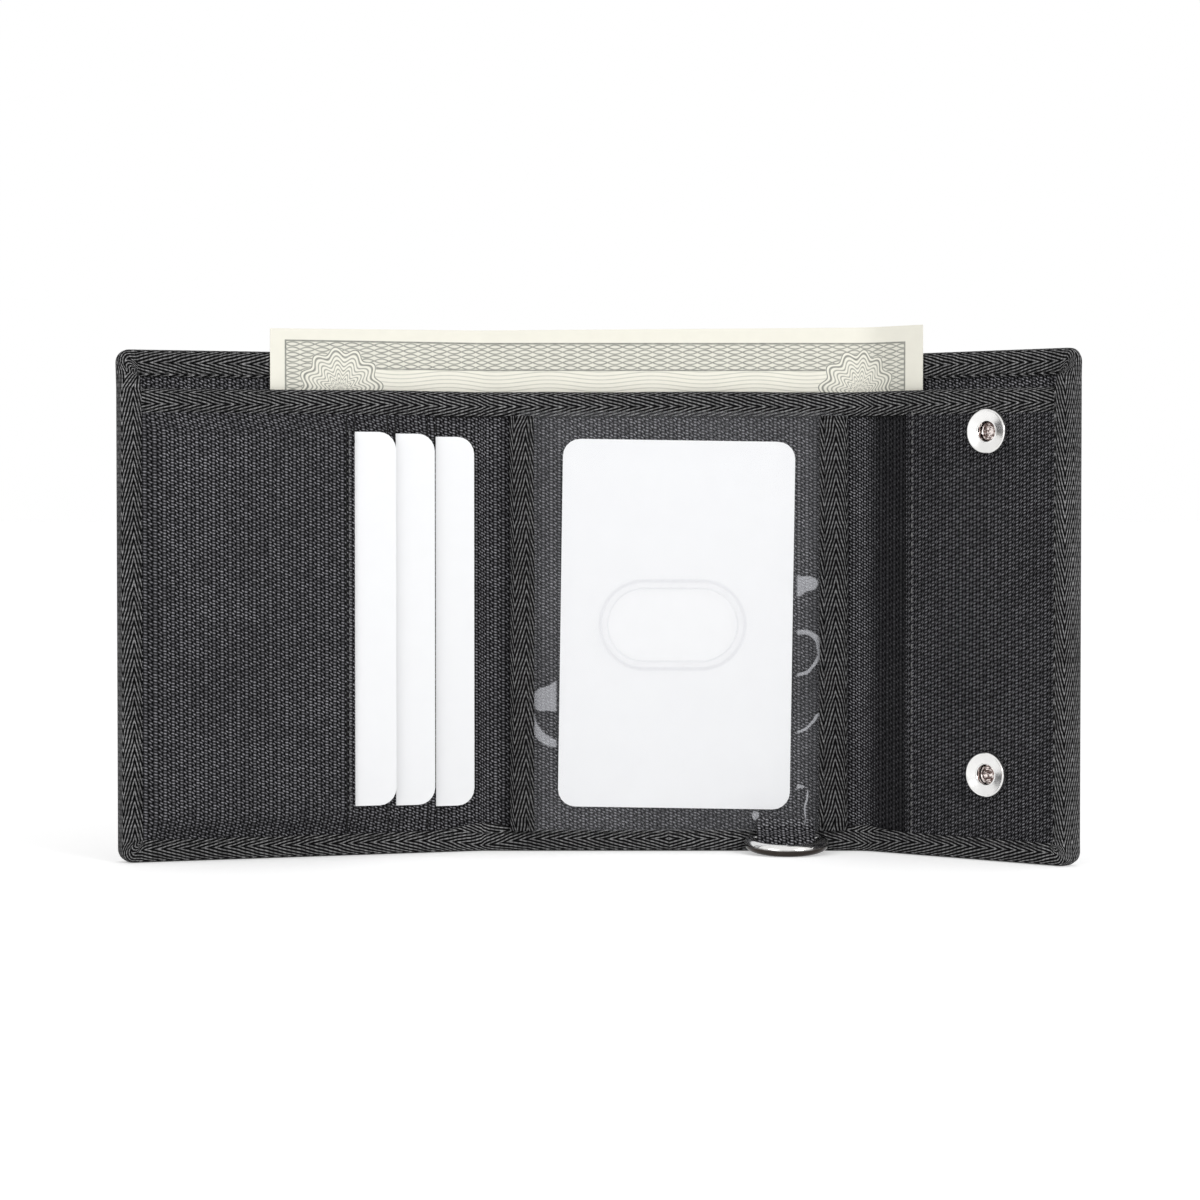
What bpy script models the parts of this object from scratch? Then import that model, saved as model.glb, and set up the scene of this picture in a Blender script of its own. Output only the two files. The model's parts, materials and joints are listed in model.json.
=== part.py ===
"""Trifold wallet, standing open on its bottom edge, as separate sewn and snapped pieces.

Sizes are in millimetres and become metres when a shape is made. A place on a panel is given
flat: u along the wallet, n forward of the shell's outer face, z up. Each side panel hangs on
an empty on its fold axis, which stands in front of the shell at half the closed spacing.
"""
import math

import bmesh
import bpy
from mathutils import Vector

MM = 0.001
WELD = 0.01

# Cards, and the room round them in the slots of the left panel
CARD_WIDTH = 54.0
CARD_HEIGHT = 85.6
CARD_CORNER = 4.0
CARD_THICKNESS = 0.76
CARD_EDGES = (21.2, 11.5, 1.55)
CARD_RISES = (6.4, 6.1, 5.5)
CARD_HEADROOM = 4.5
CARD_SIDE_ROOM = 0.8

# Panels; the centre panel is measured between the fold axes
CENTRE_WIDTH = 85.7
RIGHT_LENGTH = 52.5
CORNER_RADIUS = 3.0
CORNER_STEPS = 5
SHELL_ABOVE_LINER = 8.7

# Folds: the angle at rest, and the spacing of the shells when that side is shut
LEFT_REST_ANGLE = 18.5
RIGHT_REST_ANGLE = 39.0
LEFT_CLOSED_SPACING = 16.5
RIGHT_CLOSED_SPACING = 24.0
FOLD_STEPS = 8

# Layers; the liner stands off the shell by the depth of the note compartment
GAP = 0.3
SHELL_THICKNESS = 0.7
COMPARTMENT_DEPTH = 2.8
LINER_THICKNESS = 0.5
TAPE_THICKNESS = 0.5
POCKET_THICKNESS = 0.4
VINYL_THICKNESS = 0.3

# Widths of the tapes
BOTTOM_TAPE = 5.1
TOP_TAPE = 6.0
LINER_TAPE = 4.8
LEFT_SIDE_TAPE = 4.5
RIGHT_SIDE_TAPE = 3.8
WINDOW_TAPE = 5.6

# Pocket edges, from the left fold axis, and the sloping margins of the front pocket
FRONT_POCKET_EDGE = 31.1
MIDDLE_POCKET_EDGE = 21.0
BACK_POCKET_EDGE = 11.0
POCKET_SLOPE = 3.4
POCKET_FOOT = 4.3

# Window, from the two folds, and its card and thumb hole, from the window's middle
WINDOW_FROM_LEFT = 5.85
WINDOW_FROM_RIGHT = 1.35
ID_CARD_SHIFT = -0.55
ID_CARD_RISE = 4.75
ID_CARD_LEAN = -0.85
THUMB_SHIFT = -1.5
THUMB_RISE = -0.05
THUMB_WIDTH = 29.8
THUMB_HEIGHT = 16.6
THUMB_STEPS = 9

# Slip pocket of the right panel
SLIP_EDGE = 9.0

# Snaps, from the right fold axis and from the wallet's top and bottom
SNAP_FROM_FOLD = 31.4
SNAP_FROM_TOP = 18.45
SNAP_FROM_BOTTOM = 19.7
SNAP_DIAMETER = 10.3
SNAP_STEPS = 24
SOCKET_DEPTH = 1.5
SOCKET_HOLE = 4.6
SOCKET_EASE = 0.5
SOCKET_ROLL = 0.9
SOCKET_DISH = 0.3
GROOVE_DIAMETER = 8.0
GROOVE_WIDTH = 0.6
SPRING_WIRE = 0.4
SPRING_SPREAD = 1.95
SPRING_REACH = 3.0
SPRING_STEPS = 8
CAP_DIAMETER = 11.0
CAP_HEIGHT = 1.3
CAP_EDGE = 0.35
CAP_STEPS = 5
SHANK_DIAMETER = 2.6
SHANK_HOLE = 3.4
HOLE_CORNERS = 20
STUD_FLANGE = 8.0
STUD_FLANGE_THICKNESS = 0.4
STUD_NECK = 2.6
STUD_NECK_HEIGHT = 0.6
STUD_BALL = 3.2
STUD_HEIGHT = 2.3
STUD_EASE = 0.4
POST_FLANGE = 8.4
POST_THICKNESS = 0.4

# Note in the long compartment, from the two fold axes
NOTE_LENGTH_LEFT = 49.1
NOTE_LENGTH_RIGHT = 11.7
NOTE_HEIGHT = 66.3
NOTE_SHOWN = 6.5
NOTE_THICKNESS = 0.2

# Ring and its tab
RING_FROM_FOLD = 15.75
RING_WIDTH = 19.6
RING_LENGTH = 12.8
RING_WIRE = 2.8
RING_CORNER = 1.6
RING_STEPS = 16
RING_CORNER_STEPS = 4
TAB_WIDTH = 13.4
TAB_THICKNESS = 0.6
TAB_HEIGHT = 7.0
TAB_FLOOR_GAP = 0.3
TAB_STEPS = 8

# Layers worked out from those sizes, as places along n
LINER_BACK = SHELL_THICKNESS + COMPARTMENT_DEPTH
LINER_FRONT = LINER_BACK + LINER_THICKNESS
TAPE_BACK = -GAP - TAPE_THICKNESS
TAPE_FRONT = LINER_FRONT + GAP + TAPE_THICKNESS
ORIGIN_N = (TAPE_BACK + TAPE_FRONT) / 2
LEFT_H = LEFT_CLOSED_SPACING / 2
RIGHT_H = RIGHT_CLOSED_SPACING / 2
NOTE_MIDDLE = SHELL_THICKNESS + COMPARTMENT_DEPTH / 2
CARD_BACK = LINER_FRONT + GAP
CARD_STEP = CARD_THICKNESS + GAP + POCKET_THICKNESS + GAP
CARD_BACKS = (CARD_BACK + 2 * CARD_STEP, CARD_BACK + CARD_STEP, CARD_BACK)
WINDOW_TAPE_BACK = CARD_BACK + CARD_THICKNESS + GAP
VINYL_BACK = WINDOW_TAPE_BACK + TAPE_THICKNESS + GAP
WINDOW_TAPE_FRONT = VINYL_BACK + VINYL_THICKNESS + GAP + TAPE_THICKNESS
SLIP_FRONT = CARD_BACK + POCKET_THICKNESS
SOCKET_BACK = SLIP_FRONT + GAP
SOCKET_FRONT = SOCKET_BACK + SOCKET_DEPTH
SOCKET_MIDDLE = SOCKET_BACK + SOCKET_DEPTH / 2
TAB_BACK = TAPE_FRONT + GAP
BAR_N = TAB_BACK + TAB_THICKNESS + GAP + RING_WIRE / 2

# Heights worked out from those sizes
PANEL_BASE = TAPE_THICKNESS + GAP
POCKET_BASE = BOTTOM_TAPE + GAP
POCKET_TOP = POCKET_BASE + CARD_RISES[0] + CARD_HEIGHT + CARD_HEADROOM
LINER_TOP = POCKET_TOP + GAP + LINER_TAPE
LINER_EDGE = LINER_TOP - TAPE_THICKNESS - GAP
HEIGHT = LINER_TOP + SHELL_ABOVE_LINER
SHELL_TOP = HEIGHT - TAPE_THICKNESS - GAP
SIDE_TOP = HEIGHT - TOP_TAPE - GAP
NOTE_TOP = HEIGHT + NOTE_SHOWN
NOTE_BASE = NOTE_TOP - NOTE_HEIGHT
SNAP_HEIGHTS = {"upper": HEIGHT - SNAP_FROM_TOP, "lower": SNAP_FROM_BOTTOM}
BAR_Z = TAB_FLOOR_GAP + TAB_THICKNESS + GAP + RING_WIRE / 2
TAB_TOP = TAB_FLOOR_GAP + TAB_HEIGHT

# Lengths worked out from those sizes
CENTRE_END = CENTRE_WIDTH / 2 - GAP
POCKET_OUTER = CARD_EDGES[0] + CARD_WIDTH + CARD_SIDE_ROOM + POCKET_SLOPE
LEFT_LENGTH = POCKET_OUTER + GAP + LEFT_SIDE_TAPE
SLIP_OUTER = RIGHT_LENGTH - RIGHT_SIDE_TAPE - GAP
STUD_FROM_FOLD = CENTRE_WIDTH - SNAP_FROM_FOLD
WINDOW_LEFT = WINDOW_FROM_LEFT - CENTRE_WIDTH / 2
WINDOW_RIGHT = CENTRE_WIDTH / 2 - WINDOW_FROM_RIGHT
WINDOW_MIDDLE = (WINDOW_LEFT + WINDOW_RIGHT) / 2
RING_U = CENTRE_WIDTH / 2 - RING_FROM_FOLD
RING_DEPTH = RING_LENGTH - RING_WIRE
RING_TILT = math.degrees(math.asin((BAR_Z - RING_WIRE / 2) / RING_DEPTH))

COLOURS = {
    "nylon": ((0.035, 0.035, 0.038), 0.85, 0.0),
    "twill_tape": ((0.018, 0.018, 0.020), 0.8, 0.0),
    "white_card": ((0.86, 0.86, 0.87), 0.45, 0.0),
    "clear_vinyl": ((0.62, 0.66, 0.72), 0.12, 0.0),
    "note_paper": ((0.72, 0.70, 0.60), 0.75, 0.0),
    "nickel": ((0.62, 0.60, 0.57), 0.28, 1.0),
    "spring_steel": ((0.45, 0.42, 0.40), 0.35, 1.0),
}

# Ways to turn a flat outline: facing n, running along u, or standing up z
FACING = (90, 0, 0)
ALONG = (90, 0, 90)
UPRIGHT = (0, 0, 0)

# n at each panel's own y = 0, and the turn of each fold's strip from the side panel to the centre
DEPTHS = {"centre": ORIGIN_N, "left": LEFT_H, "right": RIGHT_H}
FOLD_TURNS = {"left": -LEFT_REST_ANGLE, "right": RIGHT_REST_ANGLE}
LEFT_AXIS = (-CENTRE_WIDTH / 2, ORIGIN_N - LEFT_H, 0)
RIGHT_AXIS = (CENTRE_WIDTH / 2, ORIGIN_N - RIGHT_H, 0)


def clear_scene():
    """Removes every object that the file started with."""
    for old in list(bpy.data.objects):
        bpy.data.objects.remove(old, do_unlink=True)


def make_material(name):
    """Makes a plain Principled material."""
    colour, roughness, metallic = COLOURS[name]
    material = bpy.data.materials.new(name)
    material.use_nodes = True
    shader = material.node_tree.nodes["Principled BSDF"]
    shader.inputs["Base Color"].default_value = (*colour, 1.0)
    shader.inputs["Roughness"].default_value = roughness
    shader.inputs["Metallic"].default_value = metallic
    material.diffuse_color = (*colour, 1.0)
    return material


def make_frame(name, axis, turn):
    """Adds the empty that carries a panel."""
    empty = bpy.data.objects.new(name, None)
    empty.empty_display_size = 0.01
    empty.location = Vector(axis) * MM
    empty.rotation_euler = (0, 0, math.radians(turn))
    PARTS.objects.link(empty)
    return empty


clear_scene()
PARTS = bpy.data.collections.new("trifold_wallet")
bpy.context.scene.collection.children.link(PARTS)
MATERIALS = {name: make_material(name) for name in COLOURS}
FRAMES = {
    "centre": make_frame("centre_panel", (0, 0, 0), 0),
    "left": make_frame("left_fold_axis", LEFT_AXIS, LEFT_REST_ANGLE),
    "right": make_frame("right_fold_axis", RIGHT_AXIS, -RIGHT_REST_ANGLE),
}


def add_object(name, data, material, panel, place, turn):
    """Links an object to a panel at a place given as u, n and z."""
    data.materials.append(MATERIALS[material])
    piece = bpy.data.objects.new(name, data)
    u, n, z = place
    piece.location = Vector((u, DEPTHS[panel] - n, z)) * MM
    piece.rotation_euler = [math.radians(angle) for angle in turn]
    piece.parent = FRAMES[panel]
    PARTS.objects.link(piece)
    return piece


def add_line(curve, points, closed):
    """Adds a line of straight stretches to a curve."""
    line = curve.splines.new("POLY")
    line.points.add(len(points) - 1)
    line.use_cyclic_u = closed
    for spot, (x, y) in zip(line.points, points):
        spot.co = (x * MM, y * MM, 0, 1)


def add_outline(name, material, panel, outlines, thickness, place, turn):
    """Fills an outline, less any holes that follow it, to a thickness about its place."""
    curve = bpy.data.curves.new(name, "CURVE")
    curve.dimensions = "2D"
    curve.fill_mode = "BOTH"
    curve.extrude = thickness / 2 * MM
    for outline in outlines:
        add_line(curve, outline, True)
    return add_object(name, curve, material, panel, place, turn)


def add_plate(name, material, panel, outlines, back, front):
    """Makes a flat plate from an outline in u and z, less any holes."""
    place = (0, (back + front) / 2, 0)
    return add_outline(name, material, panel, outlines, front - back, place, FACING)


def add_run(name, material, panel, profile, start, end):
    """Runs a profile in n and z straight along u."""
    outline = [(-n, z) for n, z in profile]
    place = ((start + end) / 2, 0, 0)
    return add_outline(name, material, panel, [outline], end - start, place, ALONG)


def add_upright(name, material, panel, profile, base, top):
    """Stands a profile in n and u up along z."""
    outline = [(u, -n) for n, u in profile]
    place = (0, 0, (base + top) / 2)
    return add_outline(name, material, panel, [outline], top - base, place, UPRIGHT)


def add_wire(name, material, panel, points, closed, wire, place, turn):
    """Bends a round wire along a flat line."""
    curve = bpy.data.curves.new(name, "CURVE")
    curve.dimensions = "3D"
    curve.bevel_depth = wire / 2 * MM
    curve.bevel_resolution = 2
    curve.use_fill_caps = True
    add_line(curve, points, closed)
    return add_object(name, curve, material, panel, place, turn)


def add_spun(name, material, panel, points, closed, turn, steps, place, facing):
    """Spins a line of points about its own z by a turn."""
    shape = bmesh.new()
    spots = [shape.verts.new(Vector(point) * MM) for point in points]
    for first, second in zip(spots, spots[1:]):
        shape.edges.new((first, second))
    if closed:
        shape.edges.new((spots[-1], spots[0]))
    mesh = bpy.data.meshes.new(name)
    shape.to_mesh(mesh)
    shape.free()
    piece = add_object(name, mesh, material, panel, place, facing)
    spin = piece.modifiers.new("spin", "SCREW")
    spin.angle = math.radians(turn)
    spin.steps = steps
    spin.render_steps = steps
    spin.use_smooth_shade = False
    spin.use_merge_vertices = True
    spin.merge_threshold = WELD * MM
    return piece


def add_turned(name, panel, u, z, profile, closed=False):
    """Turns a metal profile of radius and n, given from back to front, about an axis along n."""
    points = [(radius, 0, n) for radius, n in reversed(profile)]
    return add_spun(name, "nickel", panel, points, closed, 360, SNAP_STEPS, (u, 0, z), FACING)


def add_fold(name, material, side, line, thickness):
    """Spins a line in n and z about a fold axis, from the side panel to the centre, and thickens it."""
    points = [(0, DEPTHS[side] - n, z) for n, z in line]
    place = (0, DEPTHS[side], 0)
    strip = add_spun(name, material, side, points, False, FOLD_TURNS[side], FOLD_STEPS, place, UPRIGHT)
    thicken(strip, thickness)


def thicken(piece, thickness):
    """Gives an open surface a thickness about its middle."""
    sheet = piece.modifiers.new("thickness", "SOLIDIFY")
    sheet.thickness = thickness * MM
    sheet.offset = 0.0
    sheet.use_even_offset = True


def arc(x, y, radius, begin, sweep, steps):
    """Points of an arc about x and y, in degrees."""
    angles = [math.radians(begin + sweep * step / steps) for step in range(steps + 1)]
    return [(x + radius * math.cos(angle), y + radius * math.sin(angle)) for angle in angles]


def rectangle(first, last, low, high):
    """Corners of a rectangle."""
    return [(first, low), (last, low), (last, high), (first, high)]


def rounded(first, last, low, high, radius, corners="1111", steps=CORNER_STEPS):
    """Rectangle whose corners are rounded where its flag is 1, from low-first round to high-first."""
    centres = ((first, low, 1, 1), (last, low, -1, 1), (last, high, -1, -1), (first, high, 1, -1))
    points = []
    for turn, (flag, (x, y, way_x, way_y)) in enumerate(zip(corners, centres)):
        if flag == "1":
            points += arc(x + way_x * radius, y + way_y * radius, radius, 180 + 90 * turn, 90, steps)
        else:
            points.append((x, y))
    return points


def leaned(points, angle, x, y):
    """Turns an outline about its own middle and puts that middle in its place."""
    cos = math.cos(math.radians(angle))
    sin = math.sin(math.radians(angle))
    return [(x + a * cos - b * sin, y + a * sin + b * cos) for a, b in points]


def hole(u, z):
    """Outline of the round hole for a snap's shank."""
    step = 360 / HOLE_CORNERS
    return arc(u, z, SHANK_HOLE / 2, 0, 360 - step, HOLE_CORNERS - 1)


def middle_line(back, front, tip, bend):
    """Middle line of a folded tape: from one leg's tip round the bend to the other leg's tip."""
    half = TAPE_THICKNESS / 2
    web = bend - half if bend > tip else bend + half
    return [(back + half, tip), (back + half, web), (front - half, web), (front - half, tip)]


def channel(back, front, tip, bend):
    """Outline of a folded tape: two legs that start at tip and join at bend."""
    wall = TAPE_THICKNESS
    web = bend - wall if bend > tip else bend + wall
    return [(back, tip), (back, bend), (front, bend), (front, tip),
            (front - wall, tip), (front - wall, web), (back + wall, web), (back + wall, tip)]


def add_shell_and_liner():
    """The outer shell, the liner in front of it, and the bent strips in their folds."""
    left_end = LEFT_LENGTH - TAPE_THICKNESS - GAP
    right_end = RIGHT_LENGTH - TAPE_THICKNESS - GAP
    snap_holes = [hole(SNAP_FROM_FOLD, z) for z in SNAP_HEIGHTS.values()]
    stud_holes = [hole(-STUD_FROM_FOLD, z) for z in SNAP_HEIGHTS.values()]
    layers = (("shell", 0.0, SHELL_THICKNESS, SHELL_TOP, "1", stud_holes),
              ("liner", LINER_BACK, LINER_FRONT, LINER_EDGE, "0", []))
    for name, back, front, top, round_top, left_holes in layers:
        left = rounded(-left_end, -GAP, PANEL_BASE, top, CORNER_RADIUS, "100" + round_top)
        right = rounded(GAP, right_end, PANEL_BASE, top, CORNER_RADIUS, "01" + round_top + "0")
        centre = rectangle(-CENTRE_END, CENTRE_END, PANEL_BASE, top)
        add_plate(name + "_left", "nylon", "left", [left, *left_holes], back, front)
        add_plate(name + "_centre", "nylon", "centre", [centre], back, front)
        add_plate(name + "_right", "nylon", "right", [right, *snap_holes], back, front)
        middle = (back + front) / 2
        for side in FOLD_TURNS:
            line = [(middle, PANEL_BASE), (middle, top)]
            add_fold(name + "_" + side + "_fold", "nylon", side, line, front - back)


def add_bindings():
    """The tapes folded over the edges: top of the shell, top of the liner, bottom and both sides."""
    runs = (
        ("shell_top_binding", TAPE_BACK, SHELL_THICKNESS + GAP + TAPE_THICKNESS, HEIGHT - TOP_TAPE, HEIGHT,
         LEFT_LENGTH, RIGHT_LENGTH),
        ("liner_top_tape", LINER_BACK - GAP - TAPE_THICKNESS, TAPE_FRONT, LINER_TOP - LINER_TAPE, LINER_TOP,
         POCKET_OUTER, SLIP_OUTER),
        ("bottom_binding", TAPE_BACK, TAPE_FRONT, BOTTOM_TAPE, 0.0, LEFT_LENGTH, RIGHT_LENGTH),
    )
    for name, back, front, tip, bend, left_end, right_end in runs:
        profile = channel(back, front, tip, bend)
        add_run(name + "_left", "twill_tape", "left", profile, -left_end, -GAP)
        add_run(name + "_centre", "twill_tape", "centre", profile, -CENTRE_END, CENTRE_END)
        add_run(name + "_right", "twill_tape", "right", profile, GAP, right_end)
        for side in FOLD_TURNS:
            line = middle_line(back, front, tip, bend)
            add_fold(name + "_" + side + "_fold", "twill_tape", side, line, TAPE_THICKNESS)
    left = channel(TAPE_BACK, TAPE_FRONT, LEFT_SIDE_TAPE - LEFT_LENGTH, -LEFT_LENGTH)
    right = channel(TAPE_BACK, TAPE_FRONT, RIGHT_LENGTH - RIGHT_SIDE_TAPE, RIGHT_LENGTH)
    add_upright("side_binding_left", "twill_tape", "left", left, POCKET_BASE, SIDE_TOP)
    add_upright("side_binding_right", "twill_tape", "right", right, POCKET_BASE, SIDE_TOP)


def add_cards():
    """The three cards in the slots."""
    for index, (edge, rise, back) in enumerate(zip(CARD_EDGES, CARD_RISES, CARD_BACKS)):
        base = POCKET_BASE + rise
        outline = rounded(-edge - CARD_WIDTH, -edge, base, base + CARD_HEIGHT, CARD_CORNER)
        name = "card_" + str(index + 1)
        add_plate(name, "white_card", "left", [outline], back, back + CARD_THICKNESS)


def add_card_pockets():
    """Two flat pockets, and the front pocket, which slopes down to its seams."""
    ridge = -POCKET_OUTER + POCKET_SLOPE
    low = POCKET_BASE + POCKET_FOOT
    high = POCKET_TOP - POCKET_SLOPE
    flat_pockets = (("card_pocket_middle", MIDDLE_POCKET_EDGE, CARD_BACKS[1]),
                    ("card_pocket_back", BACK_POCKET_EDGE, CARD_BACKS[2]))
    for name, edge, card_back in flat_pockets:
        back = card_back + CARD_THICKNESS + GAP
        outline = rectangle(ridge + GAP, -edge, low, high)
        add_plate(name, "nylon", "left", [outline], back, back + POCKET_THICKNESS)
    half = POCKET_THICKNESS / 2
    sewn = LINER_FRONT + GAP + half
    raised = CARD_BACKS[0] + CARD_THICKNESS + GAP + half
    columns = (-POCKET_OUTER + half, ridge, -FRONT_POCKET_EDGE)
    rows = (POCKET_BASE + half, low, high, POCKET_TOP - half)
    shape = bmesh.new()
    bmesh.ops.create_grid(shape, x_segments=len(columns) - 1, y_segments=len(rows) - 1, size=1.0)
    for spot in shape.verts:
        column = round((spot.co.x + 1) / 2 * (len(columns) - 1))
        row = round((spot.co.y + 1) / 2 * (len(rows) - 1))
        n = raised if column > 0 and 0 < row < len(rows) - 1 else sewn
        spot.co = Vector((columns[column], rows[row], n)) * MM
    mesh = bpy.data.meshes.new("card_pocket_front")
    shape.to_mesh(mesh)
    shape.free()
    pocket = add_object("card_pocket_front", mesh, "nylon", "left", (0, 0, 0), FACING)
    thicken(pocket, POCKET_THICKNESS)


def add_window():
    """The clear window with its thumb hole, its two side tapes and the card behind it."""
    left = WINDOW_LEFT + TAPE_THICKNESS + GAP
    right = WINDOW_RIGHT - TAPE_THICKNESS - GAP
    card_base = POCKET_BASE + ID_CARD_RISE
    thumb_u = WINDOW_MIDDLE + THUMB_SHIFT
    thumb_z = card_base + CARD_HEIGHT / 2 + THUMB_RISE
    film = rectangle(left, right, POCKET_BASE, POCKET_TOP)
    thumb = rounded(thumb_u - THUMB_WIDTH / 2, thumb_u + THUMB_WIDTH / 2,
                    thumb_z - THUMB_HEIGHT / 2, thumb_z + THUMB_HEIGHT / 2, THUMB_HEIGHT / 2, steps=THUMB_STEPS)
    film_front = VINYL_BACK + VINYL_THICKNESS
    add_plate("window_vinyl", "clear_vinyl", "centre", [film, thumb], VINYL_BACK, film_front)
    tapes = (("window_tape_left", WINDOW_LEFT + WINDOW_TAPE, WINDOW_LEFT),
             ("window_tape_right", WINDOW_RIGHT - WINDOW_TAPE, WINDOW_RIGHT))
    for name, tip, bend in tapes:
        profile = channel(WINDOW_TAPE_BACK, WINDOW_TAPE_FRONT, tip, bend)
        add_upright(name, "twill_tape", "centre", profile, POCKET_BASE, POCKET_TOP)
    middle = WINDOW_MIDDLE + ID_CARD_SHIFT
    card = rounded(-CARD_WIDTH / 2, CARD_WIDTH / 2, -CARD_HEIGHT / 2, CARD_HEIGHT / 2, CARD_CORNER)
    card = leaned(card, ID_CARD_LEAN, middle, card_base + CARD_HEIGHT / 2)
    add_plate("id_card", "white_card", "centre", [card], CARD_BACK, CARD_BACK + CARD_THICKNESS)


def add_slip_pocket():
    """The slip pocket of the right panel, with the snaps' holes."""
    outline = rectangle(SLIP_EDGE, SLIP_OUTER, POCKET_BASE, POCKET_TOP)
    holes = [hole(SNAP_FROM_FOLD, z) for z in SNAP_HEIGHTS.values()]
    add_plate("slip_pocket", "nylon", "right", [outline, *holes], CARD_BACK, SLIP_FRONT)


def socket_profile():
    """Socket: a dished ring with a rolled rim and a groove for the spring."""
    inside = SOCKET_HOLE / 2
    rim = SNAP_DIAMETER / 2
    groove = GROOVE_DIAMETER / 2
    groove_front = SOCKET_MIDDLE + GROOVE_WIDTH / 2
    groove_back = SOCKET_MIDDLE - GROOVE_WIDTH / 2
    return [(inside, SOCKET_BACK), (rim, SOCKET_BACK), (rim, SOCKET_FRONT - SOCKET_EASE),
            (rim - SOCKET_EASE, SOCKET_FRONT), (rim - SOCKET_ROLL, SOCKET_FRONT),
            (inside, SOCKET_FRONT - SOCKET_DISH), (inside, groove_front), (groove, groove_front),
            (groove, groove_back), (inside, groove_back)]


def cap_profile():
    """Cap: a low dome outside the flap on a shank that ends in the socket's back."""
    reach = CAP_DIAMETER / 2
    crown = CAP_HEIGHT - CAP_EDGE
    dome = [(reach * x, -GAP - CAP_EDGE - crown * y) for y, x in arc(0, 0, 1, 0, 90, CAP_STEPS)]
    shank = SHANK_DIAMETER / 2
    return dome + [(reach, -GAP), (shank, -GAP), (shank, SLIP_FRONT), (0.0, SLIP_FRONT)]


def stud_profile():
    """Stud: a swollen tip, a neck and a flange on the shell."""
    tip = -GAP - STUD_HEIGHT
    flange = -GAP - STUD_FLANGE_THICKNESS
    ball = STUD_BALL / 2
    neck = STUD_NECK / 2
    reach = STUD_FLANGE / 2
    return [(0.0, tip), (ball - STUD_EASE, tip), (ball, tip + STUD_EASE), (ball, tip + 2 * STUD_EASE),
            (neck, flange - STUD_NECK_HEIGHT), (neck, flange), (reach, flange), (reach, -GAP), (0.0, -GAP)]


def post_profile():
    """Post: the stud's fixing inside the shell."""
    shank = SHANK_DIAMETER / 2
    back = SHELL_THICKNESS + GAP
    front = back + POST_THICKNESS
    reach = POST_FLANGE / 2
    return [(0.0, 0.0), (shank, 0.0), (shank, back), (reach, back), (reach, front), (0.0, front)]


def add_spring(name, z):
    """The bent wire that grips the stud, lying in the socket's groove."""
    reach = math.hypot(SPRING_SPREAD, SPRING_REACH)
    begin = math.degrees(math.atan2(SPRING_REACH, SPRING_SPREAD))
    bend = arc(0, 0, reach, begin, 180 - 2 * begin, SPRING_STEPS)
    points = [(SPRING_SPREAD, -SPRING_REACH), *bend, (-SPRING_SPREAD, -SPRING_REACH)]
    place = (SNAP_FROM_FOLD, SOCKET_MIDDLE, z)
    add_wire(name, "spring_steel", "right", points, False, SPRING_WIRE, place, FACING)


def add_snaps():
    """Sockets, springs and caps on the right panel; studs and posts on the left one."""
    for level, z in SNAP_HEIGHTS.items():
        add_turned("snap_socket_" + level, "right", SNAP_FROM_FOLD, z, socket_profile(), closed=True)
        add_turned("snap_cap_" + level, "right", SNAP_FROM_FOLD, z, cap_profile())
        add_turned("snap_stud_" + level, "left", -STUD_FROM_FOLD, z, stud_profile())
        add_turned("snap_post_" + level, "left", -STUD_FROM_FOLD, z, post_profile())
        add_spring("snap_spring_" + level, z)


def add_note():
    """The note: a flat piece on each panel and a bent one in each fold."""
    back = NOTE_MIDDLE - NOTE_THICKNESS / 2
    front = NOTE_MIDDLE + NOTE_THICKNESS / 2
    spans = (("left", -NOTE_LENGTH_LEFT, -GAP), ("centre", -CENTRE_END, CENTRE_END),
             ("right", GAP, NOTE_LENGTH_RIGHT))
    for panel, first, last in spans:
        outline = rectangle(first, last, NOTE_BASE, NOTE_TOP)
        add_plate("note_" + panel, "note_paper", panel, [outline], back, front)
    for side in FOLD_TURNS:
        line = [(NOTE_MIDDLE, NOTE_BASE), (NOTE_MIDDLE, NOTE_TOP)]
        add_fold("note_" + side + "_fold", "note_paper", side, line, NOTE_THICKNESS)


def add_tab():
    """The sewn tab, looped under the ring's bar."""
    inner = RING_WIRE / 2 + GAP
    outer = inner + TAB_THICKNESS
    outside = arc(BAR_N, BAR_Z, outer, 180, 180, TAB_STEPS)
    inside = arc(BAR_N, BAR_Z, inner, 360, -180, TAB_STEPS)
    profile = [(BAR_N - outer, TAB_TOP), *outside, (BAR_N + outer, TAB_TOP),
               (BAR_N + inner, TAB_TOP), *inside, (BAR_N - inner, TAB_TOP)]
    add_run("ring_tab", "twill_tape", "centre", profile, RING_U - TAB_WIDTH / 2, RING_U + TAB_WIDTH / 2)


def add_ring():
    """The D ring, whose bar is its joint's axis, resting its round end on the floor."""
    wide = (RING_WIDTH - RING_WIRE) / 2
    bow = wide - RING_DEPTH
    corner = RING_CORNER
    points = arc(wide - corner, -corner, corner, 90, -90, RING_CORNER_STEPS)
    points += arc(0, bow, wide, 0, -180, RING_STEPS)
    points += arc(corner - wide, -corner, corner, 180, -90, RING_CORNER_STEPS)
    place = (RING_U, BAR_N, BAR_Z)
    add_wire("d_ring", "nickel", "centre", points, True, RING_WIRE, place, (RING_TILT, 0, 0))


def print_joints():
    """Prints the joint axes for the record."""
    bar = (RING_U, ORIGIN_N - BAR_N, BAR_Z)
    for name, axis in (("left_fold", LEFT_AXIS), ("right_fold", RIGHT_AXIS), ("d_ring_swing", bar)):
        print(name, [round(value * MM, 6) for value in axis])
    slide = math.radians(LEFT_REST_ANGLE)
    print("left card slide", [round(-math.cos(slide), 6), round(-math.sin(slide), 6), 0])


add_shell_and_liner()
add_bindings()
add_cards()
add_card_pockets()
add_window()
add_slip_pocket()
add_snaps()
add_note()
add_tab()
add_ring()
print_joints()
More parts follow.
